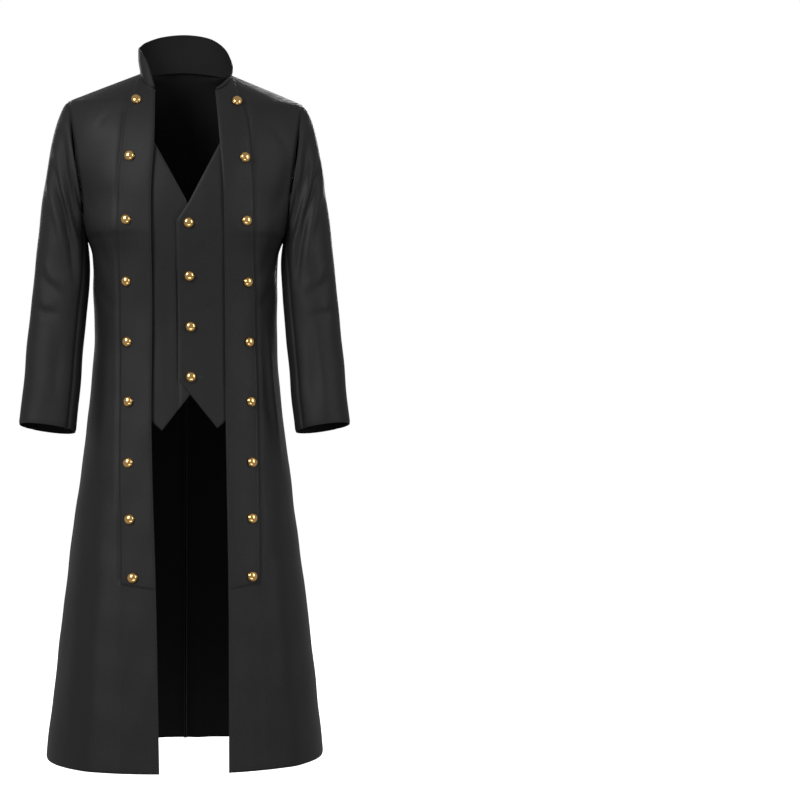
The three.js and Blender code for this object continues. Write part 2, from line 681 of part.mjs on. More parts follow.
// Both halves of the bodice, from the wearer's left to the right.
function backGrid() {
  const signed = [
    ...[...BACK_COLUMNS].reverse().map((column) => ({ column, side: 1 })),
    ...BACK_COLUMNS.slice(1).map((column) => ({ column, side: -1 })),
  ];
  const pointAt = (d, z, { column, side }) => {
    const y = skinY(side * d, z, 1);
    const atSeam = column === 1 && z <= ARMHOLE_BOTTOM.z;
    return new THREE.Vector3(side * d, atSeam ? y + SEAM_GAP / 2 : y, z);
  };
  const rows = FAN_STEPS.map((step) =>
    signed.map((place) => {
      const top = backTop(place.column);
      const fall = step * step;
      const d = THREE.MathUtils.lerp(top.d, backDistance(place.column, CHEST_TOP_Z), fall);
      const z = THREE.MathUtils.lerp(top.z, CHEST_TOP_Z, fall);
      const point = pointAt(d, z, place);
      if (step === 0 && place.column >= BACK_ZONES.outer) {
        point.y = SHOULDER_Y + SEAM_GAP / 2;
      }
      return point;
    }),
  );
  for (const z of BACK_HEIGHTS) {
    rows.push(signed.map((place) => pointAt(backDistance(place.column, z), z, place)));
  }
  rows.push(
    signed.map((place) => {
      const d = backDistance(place.column, WAIST_SEAM_Z);
      return pointAt(d, waistSeamZ(d) + SEAM_GAP / 2, place);
    }),
  );
  return rows;
}

function buildBackBodice() {
  const rows = backGrid();
  const last = rows[0].length - 1;
  const seamRule = (normal, j, i) => {
    const column = Math.abs(i - last / 2) / (last / 2);
    const atEdge = i === 0 || i === last;
    if ((j === 0 && column >= BACK_ZONES.outer) || (atEdge && rows[j][i].z <= ARMHOLE_BOTTOM.z)) {
      normal.y = 0;
    }
    if (j === rows.length - 1) {
      normal.z = 0;
    }
  };
  addPiece('back_bodice', clothWall(rows, COAT_WALL, seamRule), COAT_CLOTH);
}

function buildBackSkirt(side) {
  const shares = evenSteps(SKIRT_COLUMNS);
  const pointAt = (share, d, z) => {
    const place = Math.max(d, SEAM_GAP / 2);
    const y = skinY(side * place, z, 1);
    return new THREE.Vector3(side * place, share === 1 ? y + SEAM_GAP / 2 : y, z);
  };
  const rows = [
    shares.map((share) => {
      const d = edgeX(WAIST_SEAM_Z) * Math.sin(share * quarterTurn);
      return pointAt(share, d, waistSeamZ(d) - SEAM_GAP / 2);
    }),
  ];
  for (const z of SKIRT_HEIGHTS) {
    rows.push(shares.map((share) => pointAt(share, edgeX(z) * Math.sin(share * quarterTurn), z)));
  }
  const last = shares.length - 1;
  const seamRule = (normal, j, i) => {
    const share = side < 0 ? i : last - i;
    if (share === last) {
      normal.y = 0;
    }
    if (share === 0) {
      normal.x = 0;
    }
    if (j === 0) {
      normal.z = 0;
    }
  };
  const geometry = clothWall(facingOut(rows, side > 0), COAT_WALL, seamRule);
  addPiece(`back_skirt_${sideName(side)}`, geometry, COAT_CLOTH);
}

// ---------------------------------------------------------------- collar

// The collar seam at a turn round the neck, from the nape (0) to a front end (1).
function collarFoot(turn) {
  const side = Math.sign(turn) || 1;
  const away = Math.abs(turn);
  if (away <= 0.5) {
    const angle = (away / 0.5) * quarterTurn;
    const z = NAPE_RISE * Math.cos(angle) ** 2;
    return new THREE.Vector3(
      side * NECK_HALF * Math.sin(angle),
      THREE.MathUtils.lerp(SHOULDER_Y, NAPE_Y, Math.cos(angle)),
      z,
    );
  }
  const column = ((1 - away) / 0.5) * BAND_SHARE;
  const top = frontTop(column, side);
  return new THREE.Vector3(side * top.d, skinY(side * top.d, top.z, -1), top.z);
}

function buildCollar() {
  const ribs = [...COLLAR_RIBS].reverse();
  const rows = [1, 0.67, 0.33, 0].map((height) =>
    ribs.map((rib) => {
      const foot = collarFoot(rib.turn);
      foot.z += COLLAR_SEAM_GAP;
      return foot.lerp(new THREE.Vector3(rib.x, rib.y, rib.z), height);
    }),
  );
  const levelFoot = (normal) => {
    normal.z = Math.max(normal.z, 0);
  };
  addPiece('collar', clothWall(rows, COLLAR_WALL, levelFoot), COAT_CLOTH);
}

// ---------------------------------------------------------------- sleeves

const UPPER_SLEEVE_COLUMNS = 9;
const UNDER_SLEEVE_COLUMNS = 6;
const ARMHOLE_AXIS = new THREE.Vector3(
  ARMHOLE_TOP.z - ARMHOLE_BOTTOM.z,
  0,
  ARMHOLE_BOTTOM.x - ARMHOLE_TOP.x,
).normalize();
const SLEEVE_SEAM_TURN = 0.32;    // half the gap at a sleeve seam, in degrees

// A point on a ring of the left sleeve: 0 degrees is its outer point and 90 its back.
function sleevePoint(ring, degrees) {
  const angle = THREE.MathUtils.degToRad(degrees);
  const reach = 0.5 + 0.5 * Math.cos(angle);
  return new THREE.Vector3(
    THREE.MathUtils.lerp(ring.inX, ring.outX, reach),
    ring.y + ring.half * Math.sin(angle),
    THREE.MathUtils.lerp(ring.inZ, ring.outZ, reach) - ring.drop * Math.sin(angle),
  );
}

// The direction out of the sleeve there, square to its lengthwise seams.
function sleeveOutward(ring, degrees) {
  const angle = THREE.MathUtils.degToRad(degrees);
  const half = new THREE.Vector3(ring.outX - ring.inX, 0, ring.outZ - ring.inZ).multiplyScalar(0.5);
  const outward = half.clone().multiplyScalar(Math.cos(angle) / half.lengthSq());
  outward.y += Math.sin(angle) / ring.half;
  return outward.normalize();
}

function buildSleevePiece(name, side, columns, anglesOf) {
  const rows = SLEEVE_RINGS.map((ring, j) =>
    evenSteps(columns).map((share) => {
      const [from, to] = anglesOf(ring);
      const point = sleevePoint(ring, THREE.MathUtils.lerp(from, to, share));
      if (j === 0) {
        point.addScaledVector(ARMHOLE_AXIS, SEAM_GAP);
      }
      point.x *= side;
      return point;
    }),
  );
  const seamRule = (normal, j, i) => {
    const ring = SLEEVE_RINGS[j];
    const place = side > 0 ? i : columns - i;
    if (place === 0 || place === columns) {
      const [from, to] = anglesOf(ring);
      normal.copy(sleeveOutward(ring, place === 0 ? from : to));
      normal.x *= side;
    }
    if (j === 0) {
      const axis = ARMHOLE_AXIS.clone();
      axis.x *= side;
      normal.addScaledVector(axis, -normal.dot(axis));
    }
  };
  addPiece(name, clothWall(facingOut(rows, side < 0), COAT_WALL, seamRule), COAT_CLOTH);
}

function buildSleeve(side) {
  buildSleevePiece(`upper_sleeve_${sideName(side)}`, side, UPPER_SLEEVE_COLUMNS, (ring) => [
    FRONT_SLEEVE_SEAM + SLEEVE_SEAM_TURN,
    ring.seam - SLEEVE_SEAM_TURN,
  ]);
  buildSleevePiece(`under_sleeve_${sideName(side)}`, side, UNDER_SLEEVE_COLUMNS, (ring) => [
    ring.seam + SLEEVE_SEAM_TURN,
    FRONT_SLEEVE_SEAM + 360 - SLEEVE_SEAM_TURN,
  ]);
}

// ---------------------------------------------------------------- waistcoat

const VEST_LIFT = { left: -4.5, right: -7.3 };   // its outer face, inside the front's
const VEST_LEVELS = [0, 0.12, 0.24, 0.357, 0.5, 0.62, 0.75, 0.88, 1];
const VEST_COLUMNS = { left: [0, 0.19, 0.38, 0.57, 0.78, 1], right: [0, 0.25, 0.5, 0.75, 1] };

function vestHem(side) {
  return side > 0 ? VEST_LEFT_HEM : VEST_RIGHT_HEM;
}

// The waistcoat's lower edge: its point lies a share of the way out from its front edge.
function buildVest(side) {
  const name = sideName(side);
  const hem = vestHem(side);
  const outerX = side * VEST_HIDDEN_HALF;
  const rows = VEST_LEVELS.map((level) =>
    VEST_COLUMNS[name].map((column) => {
      const hemX = THREE.MathUtils.lerp(hem[0].x, outerX, column);
      const z = THREE.MathUtils.lerp(VEST_TOP_Z, straight(hem, 'x', hemX, 'z'), level);
      const frontX = straight(VEST_NECK, 'z', z, name);
      const x = THREE.MathUtils.lerp(frontX, outerX, column);
      return onSkin(x, z, -1, VEST_LIFT[name]);
    }),
  );
  addPiece(`vest_${name}`, clothWall(facingOut(rows, side < 0), THIN_WALL), COAT_CLOTH);
}

// ---------------------------------------------------------------- buttons

const BUTTON_CLEARANCE = 1.1;     // its shank keeps it off the cloth
const BUTTON_PROFILE = [
  [0, 0],
  [0.8, 0],
  [1, 0.2],
  [0.86, 0.62],
  [0.5, 0.92],
  [0, 1],
];
const ROUND_STEPS = 10;

function revolved(profile) {
  const points = profile.map(([radius, height]) => new THREE.Vector2(radius, height));
  return new THREE.LatheGeometry(points, ROUND_STEPS);
}

// Stands a revolved piece on the skin, its axis square to it.
function standOnSkin(mesh, x, z, face, lift) {
  const foot = onSkin(x, z, face, lift);
  const outward = onSkin(x, z, face, lift + 1).sub(foot).normalize();
  mesh.position.copy(foot);
  mesh.quaternion.setFromUnitVectors(new THREE.Vector3(0, 1, 0), outward);
}

function buildButton(name, x, z, lift) {
  const profile = BUTTON_PROFILE.map(([radius, height]) => [radius * BUTTON_RADIUS, height * BUTTON_HEIGHT]);
  const mesh = addPiece(name, revolved(profile), GILT_BRASS);
  standOnSkin(mesh, x, z, -1, lift);
}

// ---------------------------------------------------------------- lacing tabs and eyelets

const wasm = await Module();
wasm.setup();

function toSolid(geometry) {
  const bare = geometry.clone();
  bare.deleteAttribute('normal');
  bare.deleteAttribute('uv');
  const merged = mergeVertices(bare, 1e-4);
  const vertProperties = new Float32Array(merged.attributes.position.array);
  const triVerts = new Uint32Array(merged.index.array);
  return new wasm.Manifold(new wasm.Mesh({ numProp: 3, vertProperties, triVerts }));
}

function fromSolid(solid) {
  const mesh = solid.getMesh();
  const geometry = new THREE.BufferGeometry();
  geometry.setAttribute('position', new THREE.BufferAttribute(new Float32Array(mesh.vertProperties), 3));
  geometry.setIndex(new THREE.BufferAttribute(new Uint32Array(mesh.triVerts), 1));
  return geometry;
}

const TAB_SHARES = [0, 0.5, 0.8, 1];
const TAB_FACE_LIFT = TAB_CLEARANCE[0] + THIN_WALL;
const EYELET_SEAT = 0.6;          // the rim's underside over the tab
const EYELET_TAIL = -1.9;         // the barrel's end, just under the tab

function eyeletPlace(side, row) {
  return { x: side * (EYELET_FIRST.x + EYELET_STEP.x * row), z: EYELET_FIRST.z + EYELET_STEP.z * row };
}

function buildTab(side) {
  const grid = backGrid();
  const middle = BACK_COLUMNS.length - 1;
  const inner = BACK_COLUMNS.indexOf(BACK_ZONES.inner);
  const firstRow = FAN_STEPS.length + BACK_HEIGHTS.indexOf(TAB_TOP_Z);
  const shares = side > 0 ? [...TAB_SHARES].reverse() : TAB_SHARES;
  const rows = grid.slice(firstRow).map((row) => {
    const ribs = [0, 1, 2].map((step) => row[middle - side * (inner + step)]);
    return shares.map((share) => {
      const from = Math.min(1, Math.floor(share * 2));
      return ribs[from].clone().lerp(ribs[from + 1], share * 2 - from);
    });
  });
  const clearances = side > 0 ? [...TAB_CLEARANCE].reverse() : TAB_CLEARANCE;
  const raised = movedOut(rows, (i) => clearances[i] + THIN_WALL);
  const lastRow = raised.length - 1;
  raised[lastRow] = raised[lastRow].map((point, i) => point.clone().lerp(raised[lastRow - 1][i], 0.04));
  let solid = toSolid(clothWall(raised, THIN_WALL));
  for (let row = 0; row < EYELET_COUNT; row += 1) {
    const { x, z } = eyeletPlace(side, row);
    const hole = new THREE.Mesh(new THREE.CylinderGeometry(EYELET_BARREL + 0.4, EYELET_BARREL + 0.4, 12, 12));
    standOnSkin(hole, x, z, 1, TAB_FACE_LIFT);
    hole.updateMatrix();
    solid = solid.subtract(toSolid(hole.geometry.applyMatrix4(hole.matrix)));
  }
  addPiece(`lacing_tab_${sideName(side)}`, fromSolid(solid), COAT_CLOTH);
}

function buildEyelet(side, row) {
  const { x, z } = eyeletPlace(side, row);
  const profile = [
    [EYELET_BORE, EYELET_TAIL],
    [EYELET_BARREL, EYELET_TAIL],
    [EYELET_BARREL, EYELET_SEAT],
    [EYELET_RADIUS, EYELET_SEAT],
    [EYELET_BARREL + 0.5, EYELET_SEAT + EYELET_RIM],
    [EYELET_BORE, EYELET_SEAT],
    [EYELET_BORE, EYELET_TAIL],
  ];
  const mesh = addPiece(`eyelet_${sideName(side)}_${row + 1}`, revolved(profile), NICKEL);
  standOnSkin(mesh, x, z, 1, TAB_FACE_LIFT);
}

// ---------------------------------------------------------------- lace

const LACE_SECTION = [
  [0.5, 0.2],
  [0.35, 0.5],
  [-0.35, 0.5],
  [-0.5, 0.2],
  [-0.5, -0.2],
  [-0.35, -0.5],
  [0.35, -0.5],
  [0.5, -0.2],
];

// A flat lace through stations, each with its point, its width and a vector that its width follows.
function laceSolid(stations) {
  const sides = LACE_SECTION.length;
  const positions = [];
  stations.forEach((station, k) => {
    const before = stations[Math.max(k - 1, 0)].point;
    const after = stations[Math.min(k + 1, stations.length - 1)].point;
    const tangent = new THREE.Vector3().subVectors(after, before).normalize();
    const across = station.across.clone();
    across.addScaledVector(tangent, -across.dot(tangent)).normalize();
    const thick = new THREE.Vector3().crossVectors(tangent, across);
    for (const [wide, high] of LACE_SECTION) {
      const point = station.point.clone();
      point.addScaledVector(across, wide * station.width);
      point.addScaledVector(thick, high * LACE_THICKNESS * (station.swell || 1));
      positions.push(point.x, point.y, point.z);
    }
  });
  const faces = [];
  for (let k = 0; k < stations.length - 1; k += 1) {
    for (let i = 0; i < sides; i += 1) {
      const a = k * sides + i;
      const b = k * sides + ((i + 1) % sides);
      faces.push(a, b, b + sides, a, b + sides, a + sides);
    }
  }
  const end = (stations.length - 1) * sides;
  for (let i = 1; i < sides - 1; i += 1) {
    faces.push(0, i + 1, i, end, end + i, end + i + 1);
  }
  const geometry = new THREE.BufferGeometry();
  geometry.setAttribute('position', new THREE.Float32BufferAttribute(positions, 3));
  geometry.setIndex(faces);
  return geometry;
}

// The laces' run between two eyelets: share of the way, and height where it starts or ends over
// a tab or under it. The middle of a crossing is set apart.
const STRAND_SHARES = [0.05, 0.1, 0.2, 0.35, 0.5];
const STRAND_OVER = [6.9, 5.6, 3.2, 2.0];
const STRAND_UNDER = [1.6, 1.6, 1.6, 1.8];
const BORE_PASS = [
  { inward: 1.6, lift: LACE_OVER, width: 4.5 },
  { inward: -0.7, lift: 4.9, width: 3.2 },
  { inward: 1.6, lift: LACE_UNDER, width: 4.5 },
];

// A station on the back, its width running down the tab.
function downTheTab(x, z, lift, width) {
  const point = onSkin(x, z, 1, lift);
  const below = onSkin(x, z - 1, 1, lift);
  return { point, across: below.sub(point), width };
}

function strandStations(from, to, isUpper) {
  const heights = (over) => (over ? STRAND_OVER : STRAND_UNDER);
  const middle = isUpper ? LACE_CROSSING : LACE_UNDER;
  const first = heights(from.goesOver).map((lift, k) => ({ share: STRAND_SHARES[k], lift }));
  const second = heights(to.comesOver).map((lift, k) => ({ share: 1 - STRAND_SHARES[k], lift }));
  const run = [...first, { share: 0.5, lift: middle }, ...second.reverse()];
  const start = eyeletPlace(from.side, from.row);
  const end = eyeletPlace(to.side, to.row);
  return run.map(({ share, lift }) =>
    downTheTab(
      THREE.MathUtils.lerp(start.x, end.x, share),
      THREE.MathUtils.lerp(start.z, end.z, share),
      isUpper && share > 0.3 && share < 0.7 ? LACE_CROSSING : lift,
      LACE_WIDTH,
    ),
  );
}

function boreStations(eyelet) {
  const { x, z } = eyeletPlace(eyelet.side, eyelet.row);
  const downwards = eyelet.comesOver ? BORE_PASS : [...BORE_PASS].reverse();
  return downwards.map((pass) => downTheTab(x - eyelet.side * pass.inward, z, pass.lift, pass.width));
}

function buildLacing() {
  const stations = [];
  LACED_EYELETS.forEach((eyelet, k) => {
    stations.push(...boreStations(eyelet));
    const next = LACED_EYELETS[k + 1];
    if (next) {
      stations.push(...strandStations(eyelet, next, k % 2 === 1 || k === 6));
    }
  });
  addPiece('lacing', laceSolid(stations), LACE_BRAID);
}

// A free end follows its own direction over the back, flat on it.
function buildLaceEnd(side, route) {
  const stations = route.map((place) => ({
    point: onSkin(place.x, place.z, 1, place.lift),
    width: place.width,
  }));
  stations.forEach((station, k) => {
    const before = stations[Math.max(k - 1, 0)].point;
    const after = stations[Math.min(k + 1, stations.length - 1)].point;
    const { x, z, lift } = route[k];
    const outward = onSkin(x, z, 1, lift + 1).sub(station.point);
    station.across = outward.cross(after.clone().sub(before));
  });
  addPiece(`lace_end_${sideName(side)}`, laceSolid(stations), LACE_BRAID);
}

// ---------------------------------------------------------------- the coat, as it is made up

for (const side of [-1, 1]) {
  buildFront(side);
  buildBackSkirt(side);
  buildSleeve(side);
  buildBand(side);
  buildVest(side);
  buildTab(side);
}
buildBackBodice();
buildCollar();

const bandLift = SEAM_GAP + THIN_WALL + BUTTON_CLEARANCE;
BAND_BUTTONS.forEach((button, index) => {
  buildButton(`button_right_${index + 1}`, button.right, button.z, bandLift);
  buildButton(`button_left_${index + 1}`, button.left, button.z, bandLift);
});
VEST_BUTTONS.forEach((button, index) => {
  buildButton(`button_vest_${index + 1}`, button.x, button.z, VEST_LIFT.left + BUTTON_CLEARANCE);
});
for (const side of [-1, 1]) {
  for (let row = 0; row < EYELET_COUNT; row += 1) {
    buildEyelet(side, row);
  }
}
buildLacing();
buildLaceEnd(1, LEFT_END_ROUTE);
buildLaceEnd(-1, RIGHT_END_ROUTE);

export default coat;
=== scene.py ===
import math

import bpy
import numpy as np
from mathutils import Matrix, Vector


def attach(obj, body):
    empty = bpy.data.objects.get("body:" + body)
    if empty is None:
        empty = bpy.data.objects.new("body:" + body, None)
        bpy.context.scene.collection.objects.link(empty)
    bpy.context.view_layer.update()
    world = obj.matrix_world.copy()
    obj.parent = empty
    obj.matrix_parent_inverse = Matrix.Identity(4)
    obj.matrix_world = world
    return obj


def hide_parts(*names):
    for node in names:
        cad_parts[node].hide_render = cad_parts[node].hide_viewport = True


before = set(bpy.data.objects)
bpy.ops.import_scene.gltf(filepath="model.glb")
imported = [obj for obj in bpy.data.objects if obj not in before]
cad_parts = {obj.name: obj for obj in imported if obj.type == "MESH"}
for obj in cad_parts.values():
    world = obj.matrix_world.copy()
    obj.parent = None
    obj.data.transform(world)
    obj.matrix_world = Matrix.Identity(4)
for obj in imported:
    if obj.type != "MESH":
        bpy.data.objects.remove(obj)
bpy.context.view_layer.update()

# ------------------------------------------------------------------ camera
# A studio camera level with the middle of the coat, four metres in front of it. It is turned to
# the coat's left, so the coat stands in the left half of the picture.

CAMERA_DISTANCE = 4.0
CAMERA_HEIGHT = -0.649
CAMERA_AIM_X = 0.428
LENS_MM = 90
SENSOR_MM = 36

camera_data = bpy.data.cameras.new("camera")
camera_data.lens = LENS_MM
camera_data.sensor_width = SENSOR_MM
camera = bpy.data.objects.new("camera", camera_data)
camera.location = (0, -CAMERA_DISTANCE, CAMERA_HEIGHT)
camera.rotation_euler = (math.pi / 2, 0, -math.atan2(CAMERA_AIM_X, CAMERA_DISTANCE))
bpy.context.scene.collection.objects.link(camera)
bpy.context.scene.camera = camera

# ------------------------------------------------------------------ the lace's free ends
# Both ends of the flat lace come out from under the lacing tabs, cross in a knot over the waist
# seam and make a bow: each has its loop, and each hangs on in a tail. They lie on the coat's back,
# whose form is worked out here because the lace needs it first.

HEM_Z = -1.355
WAIST_SEAM_Z = -0.441
WAIST_SEAM_RISE = 0.012
SEAM_GAP = 0.0004
COAT_WALL = 0.002
THIN_WALL = 0.0015
NECK_HALF = 0.089
NAPE_RISE = 0.017
NAPE_Y = 0.075
NECK_FRONT_Z = -0.042
SHOULDER_Y = 0.008
ARMHOLE_TOP = (0.2305, -0.057)
ARMHOLE_BOTTOM = (0.194, -0.330)
ARMHOLE_HALF_DEPTH = 0.064
ROUND_POWER = 2.4
ROUND_FROM_Z = -0.240
ROUND_TO_Z = -0.340


def columns(names, rows):
    return {name: np.array(values, float) for name, values in zip(names.split(), zip(*rows))}


# The centre line's front and back at each height, and how flat the chest runs to the armhole.
PROFILE = columns(
    "z front back power",
    [
        (0.017, -0.032, 0.075, 3.0),
        (0.0, -0.034, 0.083, 3.0),
        (-0.042, -0.062, 0.098, 3.2),
        (-0.11, -0.099, 0.115, 2.9),
        (-0.18, -0.119, 0.123, 2.6),
        (-0.25, -0.128, 0.12, 2.6),
        (-0.33, -0.125, 0.107, 2.6),
        (-0.43, -0.112, 0.095, 2.6),
        (-0.529, -0.108, 0.105, 2.6),
        (-0.649, -0.117, 0.126, 2.6),
        (-0.794, -0.133, 0.149, 2.6),
        (-1.076, -0.171, 0.184, 2.6),
        (-1.355, -0.207, 0.217, 2.6),
    ],
)
# The widest line below the arms: half width, and how far back it lies.
SIDES = columns(
    "z half y",
    [
        (-0.33, 0.194, 0.008),
        (-0.362, 0.184, 0.018),
        (-0.43, 0.183, 0.026),
        (-0.529, 0.1817, 0.028),
        (-0.649, 0.1902, 0.03),
        (-0.794, 0.2078, 0.035),
        (-1.076, 0.2446, 0.042),
        (-1.355, 0.276, 0.048),
    ],
)
# The skirt's largest folds: ridges and troughs from the waist down, deepest at the hem.
SKIRT_FOLDS = columns(
    "face waistX hemX width depth",
    [
        (1, 0.024, 0.026, 0.034, -0.009),
        (1, 0.096, 0.15, 0.044, 0.01),
        (1, 0.128, 0.2, 0.046, -0.011),
        (1, -0.062, -0.092, 0.052, -0.007),
        (1, -0.108, -0.16, 0.04, 0.008),
        (1, -0.142, -0.208, 0.044, -0.009),
        (-1, 0.15, 0.215, 0.04, 0.007),
        (-1, -0.15, -0.19, 0.046, 0.005),
    ],
)


def lerp(a, b, t):
    return a + (b - a) * t


def smooth(t):
    t = np.clip(t, 0, 1)
    return t * t * (3 - 2 * t)


def along(rows, z, column):
    """A column of a table at height z, on a smooth curve through its rows, which go downwards."""
    heights, values = rows["z"], rows[column]
    last = len(heights) - 1
    above = np.maximum(np.arange(last + 1) - 1, 0)
    below = np.minimum(np.arange(last + 1) + 1, last)
    slope = (values[below] - values[above]) / (heights[below] - heights[above])
    i = np.clip(np.searchsorted(-heights, -z, side="right") - 1, 0, last - 1)
    step = heights[i + 1] - heights[i]
    t = np.clip((z - heights[i]) / step, 0, 1)
    return (
        (2 * t**3 - 3 * t**2 + 1) * values[i]
        + (t**3 - 2 * t**2 + t) * step * slope[i]
        + (3 * t**2 - 2 * t**3) * values[i + 1]
        + (t**3 - t**2) * step * slope[i + 1]
    )


def edge_x(z):
    """Half the width where the front and the back meet, or where they end at the armhole."""
    neck = NECK_HALF * np.sqrt(np.maximum(1e-4, 1 - z / NAPE_RISE))
    shoulder = lerp(NECK_HALF, ARMHOLE_TOP[0], z / ARMHOLE_TOP[1])
    down = (z - ARMHOLE_TOP[1]) / (ARMHOLE_BOTTOM[1] - ARMHOLE_TOP[1])
    armhole = lerp(ARMHOLE_TOP[0], ARMHOLE_BOTTOM[0], down)
    side = along(SIDES, z, "half")
    below = np.where(z > ARMHOLE_BOTTOM[1], armhole, side)
    return np.where(z >= 0, neck, np.where(z > ARMHOLE_TOP[1], shoulder, below))


def edge_y(z, face):
    """How far back that edge lies. face is -1 for the front and 1 for the back."""
    nape = np.sqrt(np.clip(z / NAPE_RISE, 0, 1)) if face > 0 else 0
    half = (ARMHOLE_TOP[1] - ARMHOLE_BOTTOM[1]) / 2
    height = (z - (ARMHOLE_TOP[1] + ARMHOLE_BOTTOM[1]) / 2) / half
    armhole = SHOULDER_Y + face * ARMHOLE_HALF_DEPTH * np.sqrt(np.maximum(0, 1 - height * height))
    below = np.where(z > ARMHOLE_BOTTOM[1], armhole, along(SIDES, z, "y"))
    upper = np.where(z > ARMHOLE_TOP[1], SHOULDER_Y, below)
    return np.where(z >= 0, lerp(SHOULDER_Y, NAPE_Y, nape), upper)


def fold_lift(x, z, face):
    down = np.clip((WAIST_SEAM_Z - z) / (WAIST_SEAM_Z - HEM_Z), 0, None)
    lift = np.zeros(np.broadcast(x, z).shape)
    for k in range(len(SKIRT_FOLDS["face"])):
        if SKIRT_FOLDS["face"][k] == face:
            middle = lerp(SKIRT_FOLDS["waistX"][k], SKIRT_FOLDS["hemX"][k], down)
            width = SKIRT_FOLDS["width"][k] * (0.6 + 0.4 * down)
            off = (x - middle) / width
            lift = lift + SKIRT_FOLDS["depth"][k] * down**0.7 * np.exp(-4 * off * off)
    return lift * (1 - np.minimum(1, np.abs(x) / edge_x(z)) ** 6)


def skin_y(x, z, face):
    """The coat's outer face at a place seen straight from the front."""
    x, z = np.asarray(x, float), np.asarray(z, float)
    reach = np.minimum(np.abs(x) / edge_x(z), 1)
    middle = along(PROFILE, z, "front" if face < 0 else "back")
    soft = reach ** along(PROFILE, z, "power")
    full = 1 - np.maximum(0, 1 - reach**ROUND_POWER) ** (1 / ROUND_POWER)
    share = lerp(soft, full, smooth((z - ROUND_FROM_Z) / (ROUND_TO_Z - ROUND_FROM_Z)))
    return lerp(middle, edge_y(z, face), share) + face * fold_lift(x, z, face)


def on_skin(x, z, face, lift):
    """Points lifted square off the outer face."""
    x, z, lift = np.broadcast_arrays(*[np.asarray(v, float) for v in (x, z, lift)])
    step = 0.001
    y = skin_y(x, z, face)
    slope_x = (skin_y(x + step, z, face) - skin_y(x - step, z, face)) / (2 * step)
    slope_z = (skin_y(x, z + step, face) - skin_y(x, z - step, face)) / (2 * step)
    normal = np.stack([-slope_x, np.ones_like(y), -slope_z], -1) * face
    normal /= np.linalg.norm(normal, axis=-1, keepdims=True)
    return np.stack([x, y, z], -1) + normal * lift[..., None]


LACE_WIDTH = 0.007
LACE_THICKNESS = 0.0011
LACE_SECTION_STEPS = 16

# Place across and down the back, height over it, and width there.
LEFT_END_ROUTE = columns(
    "x z lift width",
    [
        (0.0745, -0.4226, 0.0016, 0.007),
        (0.067, -0.4268, 0.0016, 0.007),
        (0.059, -0.4315, 0.0018, 0.007),
        (0.045, -0.4385, 0.0022, 0.007),
        (0.031, -0.446, 0.0022, 0.007),
        (0.016, -0.454, 0.0018, 0.006),
        (0.002, -0.46, 0.0016, 0.0045),
        (-0.01, -0.4625, 0.0016, 0.0045),
        (-0.022, -0.4645, 0.0018, 0.005),
        (-0.036, -0.471, 0.0028, 0.0055),
        (-0.0495, -0.4825, 0.004, 0.0055),
        (-0.061, -0.4945, 0.0045, 0.0055),
        (-0.0715, -0.5065, 0.0045, 0.0055),
        (-0.0795, -0.519, 0.004, 0.0055),
        (-0.0825, -0.531, 0.003, 0.0055),
        (-0.079, -0.543, 0.0022, 0.0055),
        (-0.07, -0.55, 0.002, 0.0055),
        (-0.058, -0.5475, 0.0022, 0.0055),
        (-0.0485, -0.538, 0.003, 0.0055),
        (-0.0385, -0.517, 0.0046, 0.0055),
        (-0.029, -0.4985, 0.005, 0.0055),
        (-0.019, -0.4805, 0.0052, 0.0052),
        (-0.009, -0.4665, 0.0054, 0.0045),
        (-0.001, -0.459, 0.0056, 0.004),
        (0.008, -0.4575, 0.0056, 0.004),
        (0.0152, -0.4625, 0.0056, 0.004),
        (0.017, -0.47, 0.0052, 0.0045),
        (0.0156, -0.478, 0.0042, 0.005),
        (0.0146, -0.488, 0.0026, 0.0055),
        (0.0144, -0.5, 0.0018, 0.0055),
        (0.017, -0.514, 0.0016, 0.0055),
        (0.0215, -0.527, 0.0016, 0.0055),
        (0.0245, -0.541, 0.0018, 0.0055),
        (0.0245, -0.555, 0.002, 0.0055),
        (0.02, -0.569, 0.002, 0.0055),
        (0.013, -0.583, 0.002, 0.0055),
        (0.006, -0.598, 0.002, 0.0055),
        (-0.003, -0.6195, 0.002, 0.0055),
    ],
)
RIGHT_END_ROUTE = columns(
    "x z lift width",
    [
        (-0.0735, -0.4226, 0.0016, 0.007),
        (-0.066, -0.427, 0.0016, 0.007),
        (-0.059, -0.4315, 0.0018, 0.007),
        (-0.045, -0.44, 0.0026, 0.007),
        (-0.031, -0.448, 0.0034, 0.007),
        (-0.018, -0.4555, 0.0036, 0.006),
        (-0.007, -0.461, 0.0036, 0.0045),
        (0.005, -0.462, 0.0036, 0.0045),
        (0.0145, -0.4665, 0.0034, 0.004),
        (0.0235, -0.4745, 0.0034, 0.0045),
        (0.0305, -0.485, 0.0042, 0.0055),
        (0.0345, -0.496, 0.0048, 0.0055),
        (0.0375, -0.508, 0.005, 0.0055),
        (0.0395, -0.519, 0.0048, 0.0055),
        (0.0385, -0.529, 0.0046, 0.0055),
        (0.032, -0.5355, 0.0046, 0.0055),
        (0.024, -0.533, 0.0046, 0.0055),
        (0.0175, -0.524, 0.0048, 0.0055),
        (0.014, -0.509, 0.0052, 0.0055),
        (0.013, -0.495, 0.006, 0.0055),
        (0.012, -0.48, 0.0072, 0.005),
        (0.007, -0.4675, 0.0076, 0.0045),
        (-0.001, -0.461, 0.0078, 0.0045),
        (-0.01, -0.4595, 0.0078, 0.0045),
        (-0.0195, -0.462, 0.007, 0.005),
        (-0.028, -0.467, 0.0056, 0.005),
        (-0.0345, -0.4755, 0.0048, 0.0045),
        (-0.037, -0.4845, 0.0028, 0.005),
        (-0.038, -0.494, 0.0018, 0.005),
        (-0.0385, -0.506, 0.0017, 0.005),
    ],
)


